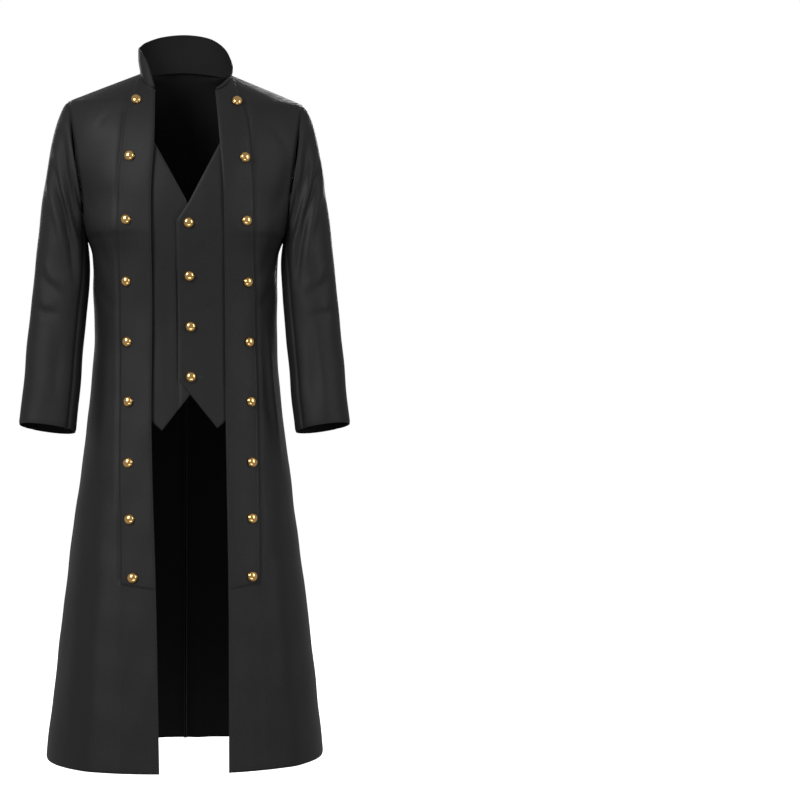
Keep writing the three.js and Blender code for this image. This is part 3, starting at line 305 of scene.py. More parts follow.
def through(values, per_span):
    """Points on a smooth curve through the values, per_span to each span."""
    values = np.asarray(values, float)
    padded = np.concatenate([2 * values[:1] - values[1:2], values, 2 * values[-1:] - values[-2:-1]])
    out = []
    for k in range(len(values) - 1):
        p0, p1, p2, p3 = padded[k : k + 4]
        for t in np.arange(per_span) / per_span:
            out.append(
                0.5
                * (
                    2 * p1
                    + (p2 - p0) * t
                    + (2 * p0 - 5 * p1 + 4 * p2 - p3) * t * t
                    + (3 * p1 - p0 - 3 * p2 + p3) * t**3
                )
            )
    return np.array(out + [values[-1]])


def unit(vectors):
    return vectors / np.maximum(np.linalg.norm(vectors, axis=-1, keepdims=True), 1e-12)


def mesh_object(name, vertices, faces, materials, face_material=None, uv=None, sharp=60):
    mesh = bpy.data.meshes.new(name)
    mesh.from_pydata([tuple(v) for v in vertices], [], [tuple(int(i) for i in f) for f in faces])
    for material in materials:
        mesh.materials.append(material)
    if face_material is not None:
        mesh.polygons.foreach_set("material_index", np.asarray(face_material, np.int32))
    if uv is not None:
        layer = mesh.uv_layers.new(name="cut")
        corner = np.empty(len(mesh.loops), np.int32)
        mesh.loops.foreach_get("vertex_index", corner)
        layer.data.foreach_set("uv", np.asarray(uv, np.float32)[corner].ravel())
    mesh.shade_smooth()
    mesh.set_sharp_from_angle(angle=math.radians(sharp))
    mesh.update()
    obj = bpy.data.objects.new(name, mesh)
    bpy.context.scene.collection.objects.link(obj)
    return obj


def linear(hex_colour):
    """An sRGB hex value as the linear colour that a shader takes."""
    channels = [int(hex_colour[i : i + 2], 16) / 255 for i in (1, 3, 5)]
    return [c / 12.92 if c <= 0.04045 else ((c + 0.055) / 1.055) ** 2.4 for c in channels] + [1]


def new_material(name):
    material = bpy.data.materials.new(name)
    material.use_nodes = True
    return material, material.node_tree.nodes["Principled BSDF"]


def add_node(material, kind, settings=(), values=(), links=()):
    """Adds a node: settings are its attributes, values its sockets, links its inputs."""
    node = material.node_tree.nodes.new(kind)
    for key, value in dict(settings).items():
        setattr(node, key, value)
    for key, value in dict(values).items():
        node.inputs[key].default_value = value
    for key, source in dict(links).items():
        material.node_tree.links.new(source, node.inputs[key])
    return node


# A tubular cotton braid, dyed black and ironed flat: matt, with a fine herringbone of yarns.
LACE_BLACK = "#202022"
BRAID_PITCH = 0.0022
WAVE_SPACING = 0.31               # the bands of a wave texture lie this far apart at scale 1
lace_braid, shader = new_material("black cotton braid")
shader.inputs["Base Color"].default_value = linear(LACE_BLACK)
shader.inputs["Roughness"].default_value = 0.55
shader.inputs["IOR"].default_value = 1.5
shader.inputs["Sheen Weight"].default_value = 0.25
shader.inputs["Sheen Roughness"].default_value = 0.4
place = add_node(lace_braid, "ShaderNodeTexCoord")
yarns = add_node(
    lace_braid,
    "ShaderNodeTexWave",
    {"wave_type": "BANDS", "bands_direction": "DIAGONAL"},
    {"Scale": WAVE_SPACING / BRAID_PITCH, "Distortion": 0.4},
    {"Vector": place.outputs["UV"]},
)
relief = add_node(
    lace_braid,
    "ShaderNodeBump",
    values={"Strength": 0.5, "Distance": 0.0003},
    links={"Height": yarns.outputs["Fac"]},
)
lace_braid.node_tree.links.new(relief.outputs["Normal"], shader.inputs["Normal"])


def flat_lace(name, points, across, widths):
    """A flat lace along points, its width following the vectors across."""
    tangent = unit(np.gradient(points, axis=0))
    across = unit(across - tangent * np.sum(across * tangent, -1, keepdims=True))
    thick = np.cross(tangent, across)
    angles = np.arange(LACE_SECTION_STEPS) * 2 * math.pi / LACE_SECTION_STEPS
    wide = np.sign(np.cos(angles)) * np.abs(np.cos(angles)) ** 0.6 / 2
    high = np.sign(np.sin(angles)) * np.abs(np.sin(angles)) ** 0.9 / 2
    vertices = (
        points[:, None]
        + across[:, None] * wide[None, :, None] * widths[:, None, None]
        + thick[:, None] * high[None, :, None] * LACE_THICKNESS
    )
    count, sides = vertices.shape[:2]
    ring = np.arange(sides)
    faces = []
    for k in range(count - 1):
        a = k * sides + ring
        b = k * sides + (ring + 1) % sides
        faces += np.stack([a, b, b + sides, a + sides], 1).tolist()
    faces += [(ring[::-1]).tolist(), ((count - 1) * sides + ring).tolist()]
    run = np.concatenate([[0], np.cumsum(np.linalg.norm(np.diff(points, axis=0), axis=1))])
    uv = np.stack(np.broadcast_arrays(wide[None] * LACE_WIDTH, run[:, None]), -1)
    return mesh_object(name, vertices.reshape(-1, 3), faces, [lace_braid], uv=uv.reshape(-1, 2))


def lace_end(name, route):
    rows = through(np.stack([route[c] for c in ("x", "z", "lift", "width")], 1), 6)
    points = on_skin(rows[:, 0], rows[:, 1], 1, rows[:, 2])
    outward = on_skin(rows[:, 0], rows[:, 1], 1, rows[:, 2] + 0.001) - points
    across = np.cross(outward, np.gradient(points, axis=0))
    lace = flat_lace(name + "_braid", points, across, rows[:, 3])
    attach(lace, "root")
    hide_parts(name)
    return lace


lace_end("lace_end_left", LEFT_END_ROUTE)
lace_end("lace_end_right", RIGHT_END_ROUTE)

# ------------------------------------------------------------------ fronts
# Each front is cut in one from the shoulder to the hem, with no waist seam. It is a firm black
# cotton twill with a soft sheen, sewn to the back at shoulder and side, turned under at its front
# edge and its hem.

CHEST_TOP_Z = -0.097              # above this the rows fan up to the neck and shoulder seams
BAND_SHARE = 0.36                 # share of a front's width that lies under the band
GRID_STEP = 0.006
SEAM_DIP = 0.0024                 # how far a seam pulls the cloth in, and over what width
SEAM_REACH = 0.0042
TURN_DIP = 0.0012                 # a turned edge rounds away
TURN_REACH = 0.0022

# The coat's own front edges, and the outer seams of the bands, as distances from the middle.
FRONT_EDGES = columns(
    "z right left",
    [
        (-0.042, 0.06, 0.057),
        (-0.144, 0.061, 0.065),
        (-0.245, 0.067, 0.072),
        (-0.47, 0.065, 0.075),
        (-0.72, 0.066, 0.077),
        (-1.007, 0.0575, 0.081),
        (-1.355, 0.05, 0.081),
    ],
)
BAND_SEAMS = columns(
    "z right left",
    [
        (-0.008, 0.09, 0.09),
        (-0.073, 0.113, 0.114),
        (-0.14, 0.121, 0.123),
        (-0.24, 0.1295, 0.1305),
        (-0.344, 0.131, 0.131),
        (-0.47, 0.127, 0.136),
        (-0.785, 0.1265, 0.142),
        (-1.003, 0.1235, 0.143),
    ],
)

# Black cotton twill, piece dyed and calendered: near black, with a broad low sheen along its
# folds. Its diagonal ribs are 0.5 mm apart and are drawn three times as coarse as they are.
CLOTH_BLACK = "#1c1c1d"
CLOTH_WORN = "#29292a"
# The wrong side is partly its own duller face and partly painted shade: its colour is darker than the right
# side so that the inside of the coat and of the collar looks shaded.
DULL_SIDE_BLACK_WITH_PAINTED_SHADE = "#151516"
DULL_SIDE_WORN_WITH_PAINTED_SHADE = "#1b1b1c"
TWILL_PITCH = 0.0015
SLUB_SIZE = 0.005                 # uneven yarns, lighter and darker


def cloth_material(name, colour, worn, roughness, relief_depth):
    material, shader = new_material(name)
    shader.inputs["Roughness"].default_value = roughness
    shader.inputs["IOR"].default_value = 1.5
    shader.inputs["Specular IOR Level"].default_value = 0.22
    place = add_node(material, "ShaderNodeTexCoord")
    ribs = add_node(
        material,
        "ShaderNodeTexWave",
        {"wave_type": "BANDS", "bands_direction": "DIAGONAL"},
        {"Scale": WAVE_SPACING / TWILL_PITCH, "Distortion": 0.6, "Detail": 1.0},
        {"Vector": place.outputs["UV"]},
    )
    slubs = add_node(
        material,
        "ShaderNodeTexNoise",
        values={"Scale": 1 / SLUB_SIZE, "Detail": 5.0, "Roughness": 0.6},
        links={"Vector": place.outputs["UV"]},
    )
    # Sockets 6 and 7 of a colour mix are its two colours.
    shade = add_node(
        material,
        "ShaderNodeMix",
        {"data_type": "RGBA"},
        {6: linear(colour), 7: linear(worn)},
        {0: slubs.outputs["Fac"]},
    )
    material.node_tree.links.new(shade.outputs[2], shader.inputs["Base Color"])
    fine = add_node(
        material,
        "ShaderNodeBump",
        values={"Strength": 0.35, "Distance": relief_depth},
        links={"Height": ribs.outputs["Fac"]},
    )
    grain = add_node(
        material,
        "ShaderNodeBump",
        values={"Strength": 0.3, "Distance": 0.0004},
        links={"Height": slubs.outputs["Fac"], "Normal": fine.outputs["Normal"]},
    )
    material.node_tree.links.new(grain.outputs["Normal"], shader.inputs["Normal"])
    return material


twill = cloth_material("black cotton twill", CLOTH_BLACK, CLOTH_WORN, 0.52, 0.0003)
twill_inside_with_painted_shade = cloth_material("black twill, dull side with painted shade", DULL_SIDE_BLACK_WITH_PAINTED_SHADE, DULL_SIDE_WORN_WITH_PAINTED_SHADE, 0.85, 0.0002)
EDGE_STEPS = np.array([0.0012, 0.0025, 0.004])


def steps_with_edges(length, start=True, end=True, step=GRID_STEP):
    """Shares from 0 to 1, a step apart, and close together near the edges."""
    shares = set(np.round(np.linspace(0, 1, max(3, int(round(length / step)) + 1)), 6))
    near = EDGE_STEPS / length
    if start:
        shares |= set(np.round(near, 6))
    if end:
        shares |= set(np.round(1 - near, 6))
    return np.array(sorted(shares))


def grid_normals(grid):
    down = np.gradient(grid, axis=0)
    across = np.gradient(grid, axis=1)
    return unit(np.cross(down, across))


def run_along(grid, axis):
    gaps = np.linalg.norm(np.diff(grid, axis=axis), axis=-1)
    zero = np.zeros_like(np.take(gaps, [0], axis=axis))
    return np.concatenate([zero, np.cumsum(gaps, axis=axis)], axis=axis)


def dipped(grid, edges):
    """Edges of a grid pressed in: edges maps top, bottom, left or right to 'seam' or 'turned'."""
    runs = {}
    runs["left"] = run_along(grid, 1)
    runs["right"] = runs["left"][:, -1:] - runs["left"]
    runs["top"] = run_along(grid, 0)
    runs["bottom"] = runs["top"][-1:] - runs["top"]
    dip = np.zeros(grid.shape[:2])
    for edge, kind in edges.items():
        deep, reach = (SEAM_DIP, SEAM_REACH) if kind == "seam" else (TURN_DIP, TURN_REACH)
        dip = dip + deep * np.exp(-((runs[edge] / reach) ** 2))
    return grid - grid_normals(grid) * dip[..., None]


def crease_lift(x, z, creases):
    """Lift of soft creases, each a trough or ridge along its points, with a swell beside it."""
    lift = np.zeros(np.broadcast(x, z).shape)
    for depth, width, *points in creases:
        points = np.array(points, float)
        spans = np.linalg.norm(np.diff(points, axis=0), axis=1)
        starts = np.concatenate([[0], np.cumsum(spans)])
        best = np.full(lift.shape, np.inf)
        signed = np.zeros(lift.shape)
        way = np.zeros(lift.shape)
        for (x0, z0), (x1, z1), span, start in zip(points[:-1], points[1:], spans, starts):
            t = ((x - x0) * (x1 - x0) + (z - z0) * (z1 - z0)) / span**2
            t = np.clip(t, 0, 1)
            off_x, off_z = x - lerp(x0, x1, t), z - lerp(z0, z1, t)
            off = np.hypot(off_x, off_z)
            side = np.sign(off_x * (z1 - z0) - off_z * (x1 - x0))
            nearer = off < best
            best = np.where(nearer, off, best)
            signed = np.where(nearer, off * side, signed)
            way = np.where(nearer, (start + t * span) / starts[-1], way)
        fade = np.clip(np.sin(np.pi * np.clip(way, 0.02, 0.98)), 0, 1) ** 0.7
        main = np.exp(-((best / width) ** 2))
        swell = np.exp(-(((signed - 1.7 * width) / (1.2 * width)) ** 2))
        lift = lift + depth * fade * (main - 0.45 * swell)
    return lift


ALLOWANCE_TURN, ALLOWANCE = 0.0012, 0.007   # a seam's cloth turns inwards this far behind it
ALLOWANCE_LAP = 0.0009            # and crosses its neighbour's by this much


def with_allowances(grid, edges):
    """Adds the seam allowances: a line of cloth turned inwards behind each seam."""
    normals = grid_normals(grid)
    for edge in [edge for edge, kind in edges.items() if kind == "seam"]:
        axis = 0 if edge in ("top", "bottom") else 1
        first = edge in ("top", "left")
        line, near = (0, 1) if first else (-1, -2)
        border, beside = np.take(grid, line, axis), np.take(grid, near, axis)
        outward = np.take(normals, near, axis).copy()
        outward[..., 2] = np.maximum(outward[..., 2], 0)
        lap = border + unit(border - beside) * ALLOWANCE_LAP
        turned = [lap - outward * depth for depth in (ALLOWANCE_TURN, ALLOWANCE)]
        added = np.stack(turned[::-1] if first else turned, axis)
        parts = [added, grid] if first else [grid, added]
        grid = np.concatenate(parts, axis)
        more = np.repeat(np.expand_dims(outward, axis), 2, axis)
        normals = np.concatenate([more, normals] if first else [normals, more], axis)
    return grid, normals


def cloth(name, grid, wall, edges, lining=None):
    """A closed sheet from a grid of outer points, its rows going down and its faces outward."""
    grid, normals = with_allowances(dipped(grid, edges), edges)
    inner = grid - grid_normals(grid) * wall
    inner[[0, -1]] = grid[[0, -1]] - normals[[0, -1]] * wall * 0.5
    rows, cols = grid.shape[:2]
    at = np.arange(rows * cols).reshape(rows, cols)
    back = at + rows * cols
    a, b, c, d = at[:-1, :-1], at[1:, :-1], at[1:, 1:], at[:-1, 1:]
    outer_faces = np.stack([a, b, c, d], -1).reshape(-1, 4)
    a, b, c, d = back[:-1, :-1], back[:-1, 1:], back[1:, 1:], back[1:, :-1]
    inner_faces = np.stack([a, b, c, d], -1).reshape(-1, 4)
    rim = []
    for front_line, back_line in (
        (at[0], back[0]),
        (at[:, -1], back[:, -1]),
        (at[-1, ::-1], back[-1, ::-1]),
        (at[::-1, 0], back[::-1, 0]),
    ):
        rim.append(np.stack([front_line[:-1], front_line[1:], back_line[1:], back_line[:-1]], -1))
    rim = np.concatenate(rim)
    faces = np.concatenate([outer_faces, inner_faces, rim])
    # Inner faces take the lining, by default the dull wrong side, whose darker colour is partly painted
    # shade.
    slots = [0] * len(outer_faces) + [1] * len(inner_faces) + [0] * len(rim)
    across = run_along(grid, 1)
    down = run_along(grid, 0)
    uv = np.stack([across - across[:, -1:] / 2, -down], -1).reshape(-1, 2)
    return mesh_object(
        name + "_twill",
        np.concatenate([grid.reshape(-1, 3), inner.reshape(-1, 3)]),
        faces,
        [twill, lining or twill_inside_with_painted_shade],
        slots,
        np.concatenate([uv, uv]),
        sharp=50,
    )


def sew_in(piece, node):
    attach(piece, "root")
    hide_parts(node)


def spread_to_edge(inner, z, share):
    """Distance from the middle between an inner line and the edge, closer together at the edge."""
    edge = edge_x(z)
    start = np.arcsin(np.minimum(1, inner / edge))
    return edge * np.sin(lerp(start, math.pi / 2, share))


SHOULDER_SPREAD = 0.45


def shoulder_point(share):
    """A point of the shoulder seam, from the neck to the armhole."""
    low = math.sin(SHOULDER_SPREAD)
    way = (np.sin(lerp(SHOULDER_SPREAD, math.pi / 2, share)) - low) / (1 - low)
    return lerp(NECK_HALF, ARMHOLE_TOP[0], way), ARMHOLE_TOP[1] * way


def front_top(column, side):
    turn = np.clip(column / BAND_SHARE, 0, 1) * math.pi / 2
    start = FRONT_EDGES[side_name(side)][0]
    seam_d, seam_z = shoulder_point(np.clip((column - BAND_SHARE) / (1 - BAND_SHARE), 0, 1))
    on_neck = column <= BAND_SHARE
    d = np.where(on_neck, lerp(start, NECK_HALF, np.sin(turn)), seam_d)
    return d, np.where(on_neck, NECK_FRONT_Z * np.cos(turn), seam_z)


def side_name(side):
    return "left" if side > 0 else "right"


def front_distance(column, z, side):
    edge = along(FRONT_EDGES, z, side_name(side))
    seam = along(BAND_SEAMS, z, side_name(side))
    under_band = lerp(edge, seam, column / BAND_SHARE)
    beyond = spread_to_edge(seam, z, np.clip((column - BAND_SHARE) / (1 - BAND_SHARE), 0, 1))
    return np.where(column <= BAND_SHARE, under_band, beyond)


def gentle(x, z, seed):
    """The slight unevenness of worn cloth, under a millimetre."""
    a = np.sin(x * 41 + seed) * np.sin(z * 23 + 1.7 * seed)
    b = np.sin(x * 83 - z * 37 + 2.3 * seed) * 0.6
    c = np.sin(x * 19 + z * 67 + 0.9 * seed) * 0.5
    return 0.0006 * (a + b + c)


FRONT_CREASES = {
    "left": [
        (0.0034, 0.006, (0.161, -0.50), (0.168, -0.62), (0.188, -0.79)),
        (-0.0042, 0.012, (0.178, -0.30), (0.168, -0.36), (0.150, -0.41)),
        (-0.0034, 0.010, (0.184, -0.37), (0.165, -0.44), (0.146, -0.47)),
        (-0.0018, 0.012, (0.205, -0.18), (0.192, -0.24), (0.172, -0.29)),
        (-0.0016, 0.010, (0.152, -0.10), (0.178, -0.12), (0.205, -0.17)),
        (0.0020, 0.014, (0.150, -0.80), (0.175, -1.00), (0.190, -1.30)),
        (-0.0030, 0.018, (0.110, -1.02), (0.118, -1.18), (0.128, -1.36)),
    ],
    "right": [
        (-0.0020, 0.004, (-0.150, -0.088), (-0.162, -0.103), (-0.172, -0.119)),
        (-0.0024, 0.010, (-0.180, -0.31), (-0.164, -0.36), (-0.148, -0.40)),
        (-0.0018, 0.009, (-0.182, -0.38), (-0.166, -0.44), (-0.140, -0.47)),
        (-0.0016, 0.012, (-0.208, -0.19), (-0.196, -0.25), (-0.180, -0.29)),
        (0.0018, 0.012, (-0.155, -0.52), (-0.160, -0.66), (-0.182, -0.82)),
        (-0.0028, 0.018, (-0.120, -0.86), (-0.132, -1.05), (-0.150, -1.34)),
        (0.0022, 0.015, (-0.196, -0.90), (-0.210, -1.10), (-0.226, -1.34)),
    ],
}
BAND_END_Z = -1.003
BAND_GROOVE = 0.0022              # the front dips this far beside the band that is sewn on it
GROOVE_OFF, GROOVE_REACH = 0.003, 0.0035
BAND_WIDTH, BEYOND_BAND_WIDTH = 0.06, 0.20


def front_points(columns_, side, bottom_drop=0.0, bottom=HEM_Z):
    """A front's outer points: rows from the neck and shoulder seam down to the bottom line."""
    fan = np.linspace(0, 1, 18)[:-1]
    heights = CHEST_TOP_Z + (bottom - CHEST_TOP_Z) * steps_with_edges(CHEST_TOP_Z - bottom, start=False)
    top_d, top_z = front_top(columns_, side)
    fall = (fan**2)[:, None]
    chest = front_distance(columns_, np.full_like(columns_, CHEST_TOP_Z), side)
    d = lerp(top_d[None], chest[None], fall)
    z = lerp(top_z[None], CHEST_TOP_Z, fall)
    drop = np.maximum(0, 1 - columns_ / BAND_SHARE) * bottom_drop
    low_z = heights[:, None] - drop[None] * ((CHEST_TOP_Z - heights) / (CHEST_TOP_Z - bottom))[:, None]
    low_d = front_distance(np.broadcast_to(columns_, low_z.shape), low_z, side)
    d = np.concatenate([d, low_d])
    z = np.concatenate([z, low_z])
    x = side * d
    creases = crease_lift(x, z, FRONT_CREASES[side_name(side)]) + gentle(x, z, 1.3 + side)
    beside_band = d - along(BAND_SEAMS, z, side_name(side))
    groove = np.exp(-(((beside_band - GROOVE_OFF) / GROOVE_REACH) ** 2)) * (columns_ > BAND_SHARE)
    creases = creases - BAND_GROOVE * groove * smooth((z - BAND_END_Z) / 0.01)
    calm = 1 - np.exp(-((np.abs(z) / 0.05) ** 2))
    points = on_skin(x, z, -1, creases * calm)
    points[..., 1] -= np.where((columns_[None] == 1) & (z <= ARMHOLE_BOTTOM[1]), SEAM_GAP / 2, 0)
    points[0, columns_ >= BAND_SHARE, 1] = SHOULDER_Y - SEAM_GAP / 2
    return points if side > 0 else points[:, ::-1]


def front_columns():
    under = steps_with_edges(BAND_WIDTH, end=False) * BAND_SHARE
    beyond = BAND_SHARE + steps_with_edges(BEYOND_BAND_WIDTH) * (1 - BAND_SHARE)
    return np.array(sorted(set(np.round(np.concatenate([under, beyond]), 6))))


for side in (-1, 1):
    name = "front_" + side_name(side)
    grid = front_points(front_columns(), side)
    outer, middle_edge = ("right", "left") if side > 0 else ("left", "right")
    front = cloth(name, grid, COAT_WALL, {outer: "seam", middle_edge: "turned", "bottom": "turned"})
    sew_in(front, name)

# ------------------------------------------------------------------ button bands
# A band of the same twill lies doubled on each front edge, from the collar to its squared lower
# end. Its outer edge is turned under and top-stitched in black thread, six millimetres in.

BAND_END_DROP = 0.009
BAND_STITCH_IN = 0.006
STITCH_DENT, STITCH_DENT_REACH = 0.0005, 0.0015
STITCH_LENGTH = 0.0026
STITCH_PITCH = 0.0036
STITCH_THICKNESS = 0.0006
BAND_TOP_CLEAR = 0.0008

# Glazed black sewing cotton, a little brighter than the cloth it lies in.
sewing_thread, shader = new_material("black sewing thread")
shader.inputs["Base Color"].default_value = linear("#333335")
shader.inputs["Roughness"].default_value = 0.4
shader.inputs["IOR"].default_value = 1.5


def stitches(name, points, normals):
    """A row of stitches along points, each a small rounded bar that dips in at both ends."""
    points, normals = np.asarray(points), np.asarray(normals)
    run = np.concatenate([[0], np.cumsum(np.linalg.norm(np.diff(points, axis=0), axis=1))])
    vertices, faces = [], []
    for start in np.arange(STITCH_PITCH, run[-1] - STITCH_PITCH, STITCH_PITCH):
        where = start + np.array([0, 0.25, 0.75, 1]) * STITCH_LENGTH
        line = np.stack([np.interp(where, run, points[:, k]) for k in range(3)], -1)
        out = unit(np.stack([np.interp(where, run, normals[:, k]) for k in range(3)], -1))
        tangent = unit(line[3] - line[0])
        base = len(vertices)
        for point, normal, rise, size in zip(line, out, (-0.5, 0.35, 0.35, -0.5), (0.6, 1, 1, 0.6)):
            side_way = np.cross(tangent, normal)
            for across, up in ((-1, 0), (0, 1), (1, 0), (0, -1)):
                offset = side_way * across * size + normal * (up * size + 2 * rise)
                vertices.append(point + offset * STITCH_THICKNESS / 2)
        for k in range(3):
            for i in range(4):
                a, b = base + 4 * k + i, base + 4 * k + (i + 1) % 4
                faces.append([a, b, b + 4, a + 4])
        faces += [[base + 3, base + 2, base + 1, base], [base + 12, base + 13, base + 14, base + 15]]
    row = mesh_object(name, vertices, faces, [sewing_thread])
    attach(row, "root")
    return row


def moved_out(grid, lift):
    return grid + grid_normals(grid) * np.asarray(lift)[..., None]


def band_points(side):
    columns_ = steps_with_edges(BAND_WIDTH, step=0.004) * BAND_SHARE
    grid = front_points(columns_, side, BAND_END_DROP, BAND_END_Z)
    lift = np.full(grid.shape[:2], SEAM_GAP + THIN_WALL)
    lift[:3] += BAND_TOP_CLEAR
    raised = moved_out(grid, lift)
    raised[0] = lerp(raised[0], raised[1], 0.8)
    return raised


def stitch_row(name, grid, from_left, inset, start=2, end=-2):
    """Stitches down a grid at a distance in from its left or its right edge."""
    run = run_along(grid, 1)
    run = run if from_left else run[:, -1:] - run
    normals = grid_normals(grid)
    points, outward = [], []
    for j in range(len(grid))[start:end]:
        order = np.argsort(run[j])
        points.append([np.interp(inset, run[j][order], grid[j][order, k]) for k in range(3)])
        outward.append([np.interp(inset, run[j][order], normals[j][order, k]) for k in range(3)])
    return stitches(name, points, outward)


for side in (-1, 1):
    grid = band_points(side)
    run = run_along(grid, 1)
    from_seam = run[:, -1:] - run if side > 0 else run
    dent = STITCH_DENT * np.exp(-(((from_seam - BAND_STITCH_IN) / STITCH_DENT_REACH) ** 2))
    grid = grid - grid_normals(grid) * dent[..., None]
    name = "placket_" + side_name(side)
    edges = {"left": "turned", "right": "turned", "bottom": "turned"}
    band = cloth(name, grid, THIN_WALL, edges, lining=twill)
    sew_in(band, name)
    stitch_row("band_stitches_" + side_name(side), grid, side < 0, BAND_STITCH_IN)
    stitch_row("edge_stitches_" + side_name(side), grid, side > 0, BAND_STITCH_IN)

# ------------------------------------------------------------------ back bodice
# The back is one piece above the waist, shaped by two darts that run into the lacing tabs, and
# sewn to the skirt across the waist.

BACK_INNER, BACK_OUTER = 0.3, 0.5     # share of the half width at a tab's free edge and its seam
TAB_TOP_Z = -0.260
BACK_HALF_WIDTH, BACK_STEP = 0.24, 0.005
TAB_LINES = columns(
    "z inner outer",
    [
        (-0.097, 0.08, 0.106),
        (-0.26, 0.0755, 0.1045),
        (-0.445, 0.068, 0.095),
    ],
)
BACK_CREASES = [
    (-0.0034, 0.0036, (0.112, -0.150), (0.112, -0.20), (0.1045, -0.272)),
    (-0.0034, 0.0036, (-0.112, -0.153), (-0.112, -0.20), (-0.1045, -0.272)),
    (0.0040, 0.030, (0.085, -0.05), (0.100, -0.12), (0.095, -0.20)),
    (0.0042, 0.032, (-0.080, -0.05), (-0.095, -0.12), (-0.092, -0.20)),
    (-0.0060, 0.014, (0.026, -0.06), (0.028, -0.17), (0.024, -0.25)),
    (-0.0050, 0.011, (-0.008, -0.13), (-0.010, -0.20), (-0.014, -0.26)),
    (-0.0044, 0.009, (0.196, -0.275), (0.170, -0.31), (0.125, -0.335)),
    (-0.0040, 0.009, (-0.196, -0.28), (-0.170, -0.32), (-0.122, -0.345)),
    (-0.0022, 0.008, (0.184, -0.345), (0.158, -0.372), (0.118, -0.385)),
    (-0.0020, 0.008, (-0.186, -0.35), (-0.160, -0.378), (-0.120, -0.392)),
    (-0.0020, 0.010, (0.214, -0.16), (0.190, -0.20), (0.165, -0.26)),
    (-0.0020, 0.010, (-0.216, -0.15), (-0.192, -0.20), (-0.160, -0.25)),
    (-0.0020, 0.009, (0.060, -0.315), (0.020, -0.325), (-0.020, -0.318)),
    (-0.0018, 0.009, (0.045, -0.388), (0.005, -0.398), (-0.050, -0.386)),
]


def back_distance(column, z):
    inner = np.interp(-z, -TAB_LINES["z"], TAB_LINES["inner"])
    outer = np.interp(-z, -TAB_LINES["z"], TAB_LINES["outer"])
    on_tab = lerp(inner, outer, (column - BACK_INNER) / (BACK_OUTER - BACK_INNER))
    beyond = spread_to_edge(outer, z, np.clip((column - BACK_OUTER) / (1 - BACK_OUTER), 0, 1))
    inside = inner * column / BACK_INNER
    return np.where(column <= BACK_INNER, inside, np.where(column <= BACK_OUTER, on_tab, beyond))


def waist_seam_z(d):
    return WAIST_SEAM_Z + WAIST_SEAM_RISE * (d / edge_x(np.array(WAIST_SEAM_Z))) ** 2


def back_points(columns_, sides, start_z=CHEST_TOP_Z, creased=True):
    """Outer points of the back for columns and their sides, from the top or from a lower row."""
    from_top = start_z == CHEST_TOP_Z
    shares = steps_with_edges(start_z - WAIST_SEAM_Z, start=not from_top, step=BACK_STEP)
    level = lerp(start_z, WAIST_SEAM_Z, shares)[:, None]
    d = back_distance(columns_[None], np.broadcast_to(level, (len(shares), len(columns_))))
    rise = waist_seam_z(d) - WAIST_SEAM_Z + SEAM_GAP / 2
    z = level + rise * ((level - CHEST_TOP_Z) / (WAIST_SEAM_Z - CHEST_TOP_Z)) ** 4
    d = back_distance(columns_[None], z)
    if from_top:
        fall = (np.linspace(0, 1, 20)[:-1] ** 2)[:, None]
        turn = np.clip(columns_ / BACK_OUTER, 0, 1) * math.pi / 2
        seam_d, seam_z = shoulder_point(np.clip((columns_ - BACK_OUTER) / (1 - BACK_OUTER), 0, 1))
        on_neck = columns_ <= BACK_OUTER
        top_d = np.where(on_neck, NECK_HALF * np.sin(turn), seam_d)
        top_z = np.where(on_neck, NAPE_RISE * np.cos(turn) ** 2, seam_z)
        d = np.concatenate([lerp(top_d[None], d[:1], fall), d])
        z = np.concatenate([lerp(top_z[None], CHEST_TOP_Z, fall), z])
    x = sides[None] * d
    lift = 0
    if creased:
        calm = 1 - np.exp(-((np.maximum(0.01 - z, 0) / 0.05) ** 2))
        lift = (crease_lift(x, z, BACK_CREASES) + gentle(x, z, 4.1)) * calm
    points = on_skin(x, z, 1, lift)
    points[..., 1] += np.where((columns_[None] == 1) & (z <= ARMHOLE_BOTTOM[1]), SEAM_GAP / 2, 0)
    if from_top:
        points[0, columns_ >= BACK_OUTER, 1] = SHOULDER_Y + SEAM_GAP / 2
    return points


half = np.round(steps_with_edges(BACK_HALF_WIDTH, start=False, step=BACK_STEP), 6)
half = np.array(sorted(set(half) | {BACK_INNER, BACK_OUTER}))
columns_ = np.concatenate([half[::-1], half[1:]])
sides = np.concatenate([np.ones(len(half)), -np.ones(len(half) - 1)])
grid = back_points(columns_, sides)
back = cloth("back_bodice", grid, COAT_WALL, {"left": "seam", "right": "seam", "bottom": "seam"})
sew_in(back, "back_bodice")

# ------------------------------------------------------------------ back skirts
# Two flared panels hang from the waist seam, joined down the centre back. They fall in soft
# folds that start near the tabs and open towards the hem.

SKIRT_CREASES = {
    "left": [
        (0.0060, 0.011, (0.098, -0.455), (0.104, -0.52), (0.108, -0.649), (0.124, -0.79), (0.135, -0.90)),
        (-0.0050, 0.016, (0.118, -0.46), (0.130, -0.58), (0.150, -0.75)),
        (-0.0040, 0.012, (0.052, -0.45), (0.060, -0.56), (0.070, -0.70)),
        (-0.0066, 0.022, (0.122, -0.68), (0.158, -1.00), (0.198, -1.34)),
        (0.0030, 0.020, (0.080, -0.90), (0.100, -1.10), (0.120, -1.35)),
        (-0.0022, 0.010, (0.165, -0.47), (0.172, -0.56), (0.190, -0.70)),
    ],
    "right": [
        (0.0026, 0.007, (-0.108, -0.447), (-0.128, -0.482), (-0.148, -0.525)),
        (-0.0028, 0.014, (-0.060, -0.455), (-0.070, -0.60), (-0.088, -0.80)),
        (-0.0050, 0.018, (-0.148, -0.60), (-0.178, -0.85), (-0.215, -1.20)),
        (0.0030, 0.020, (-0.110, -0.80), (-0.130, -1.05), (-0.155, -1.34)),
        (-0.0026, 0.016, (-0.045, -0.95), (-0.052, -1.15), (-0.060, -1.35)),
    ],
}
SKIRT_HEM_WIDTH = 0.34
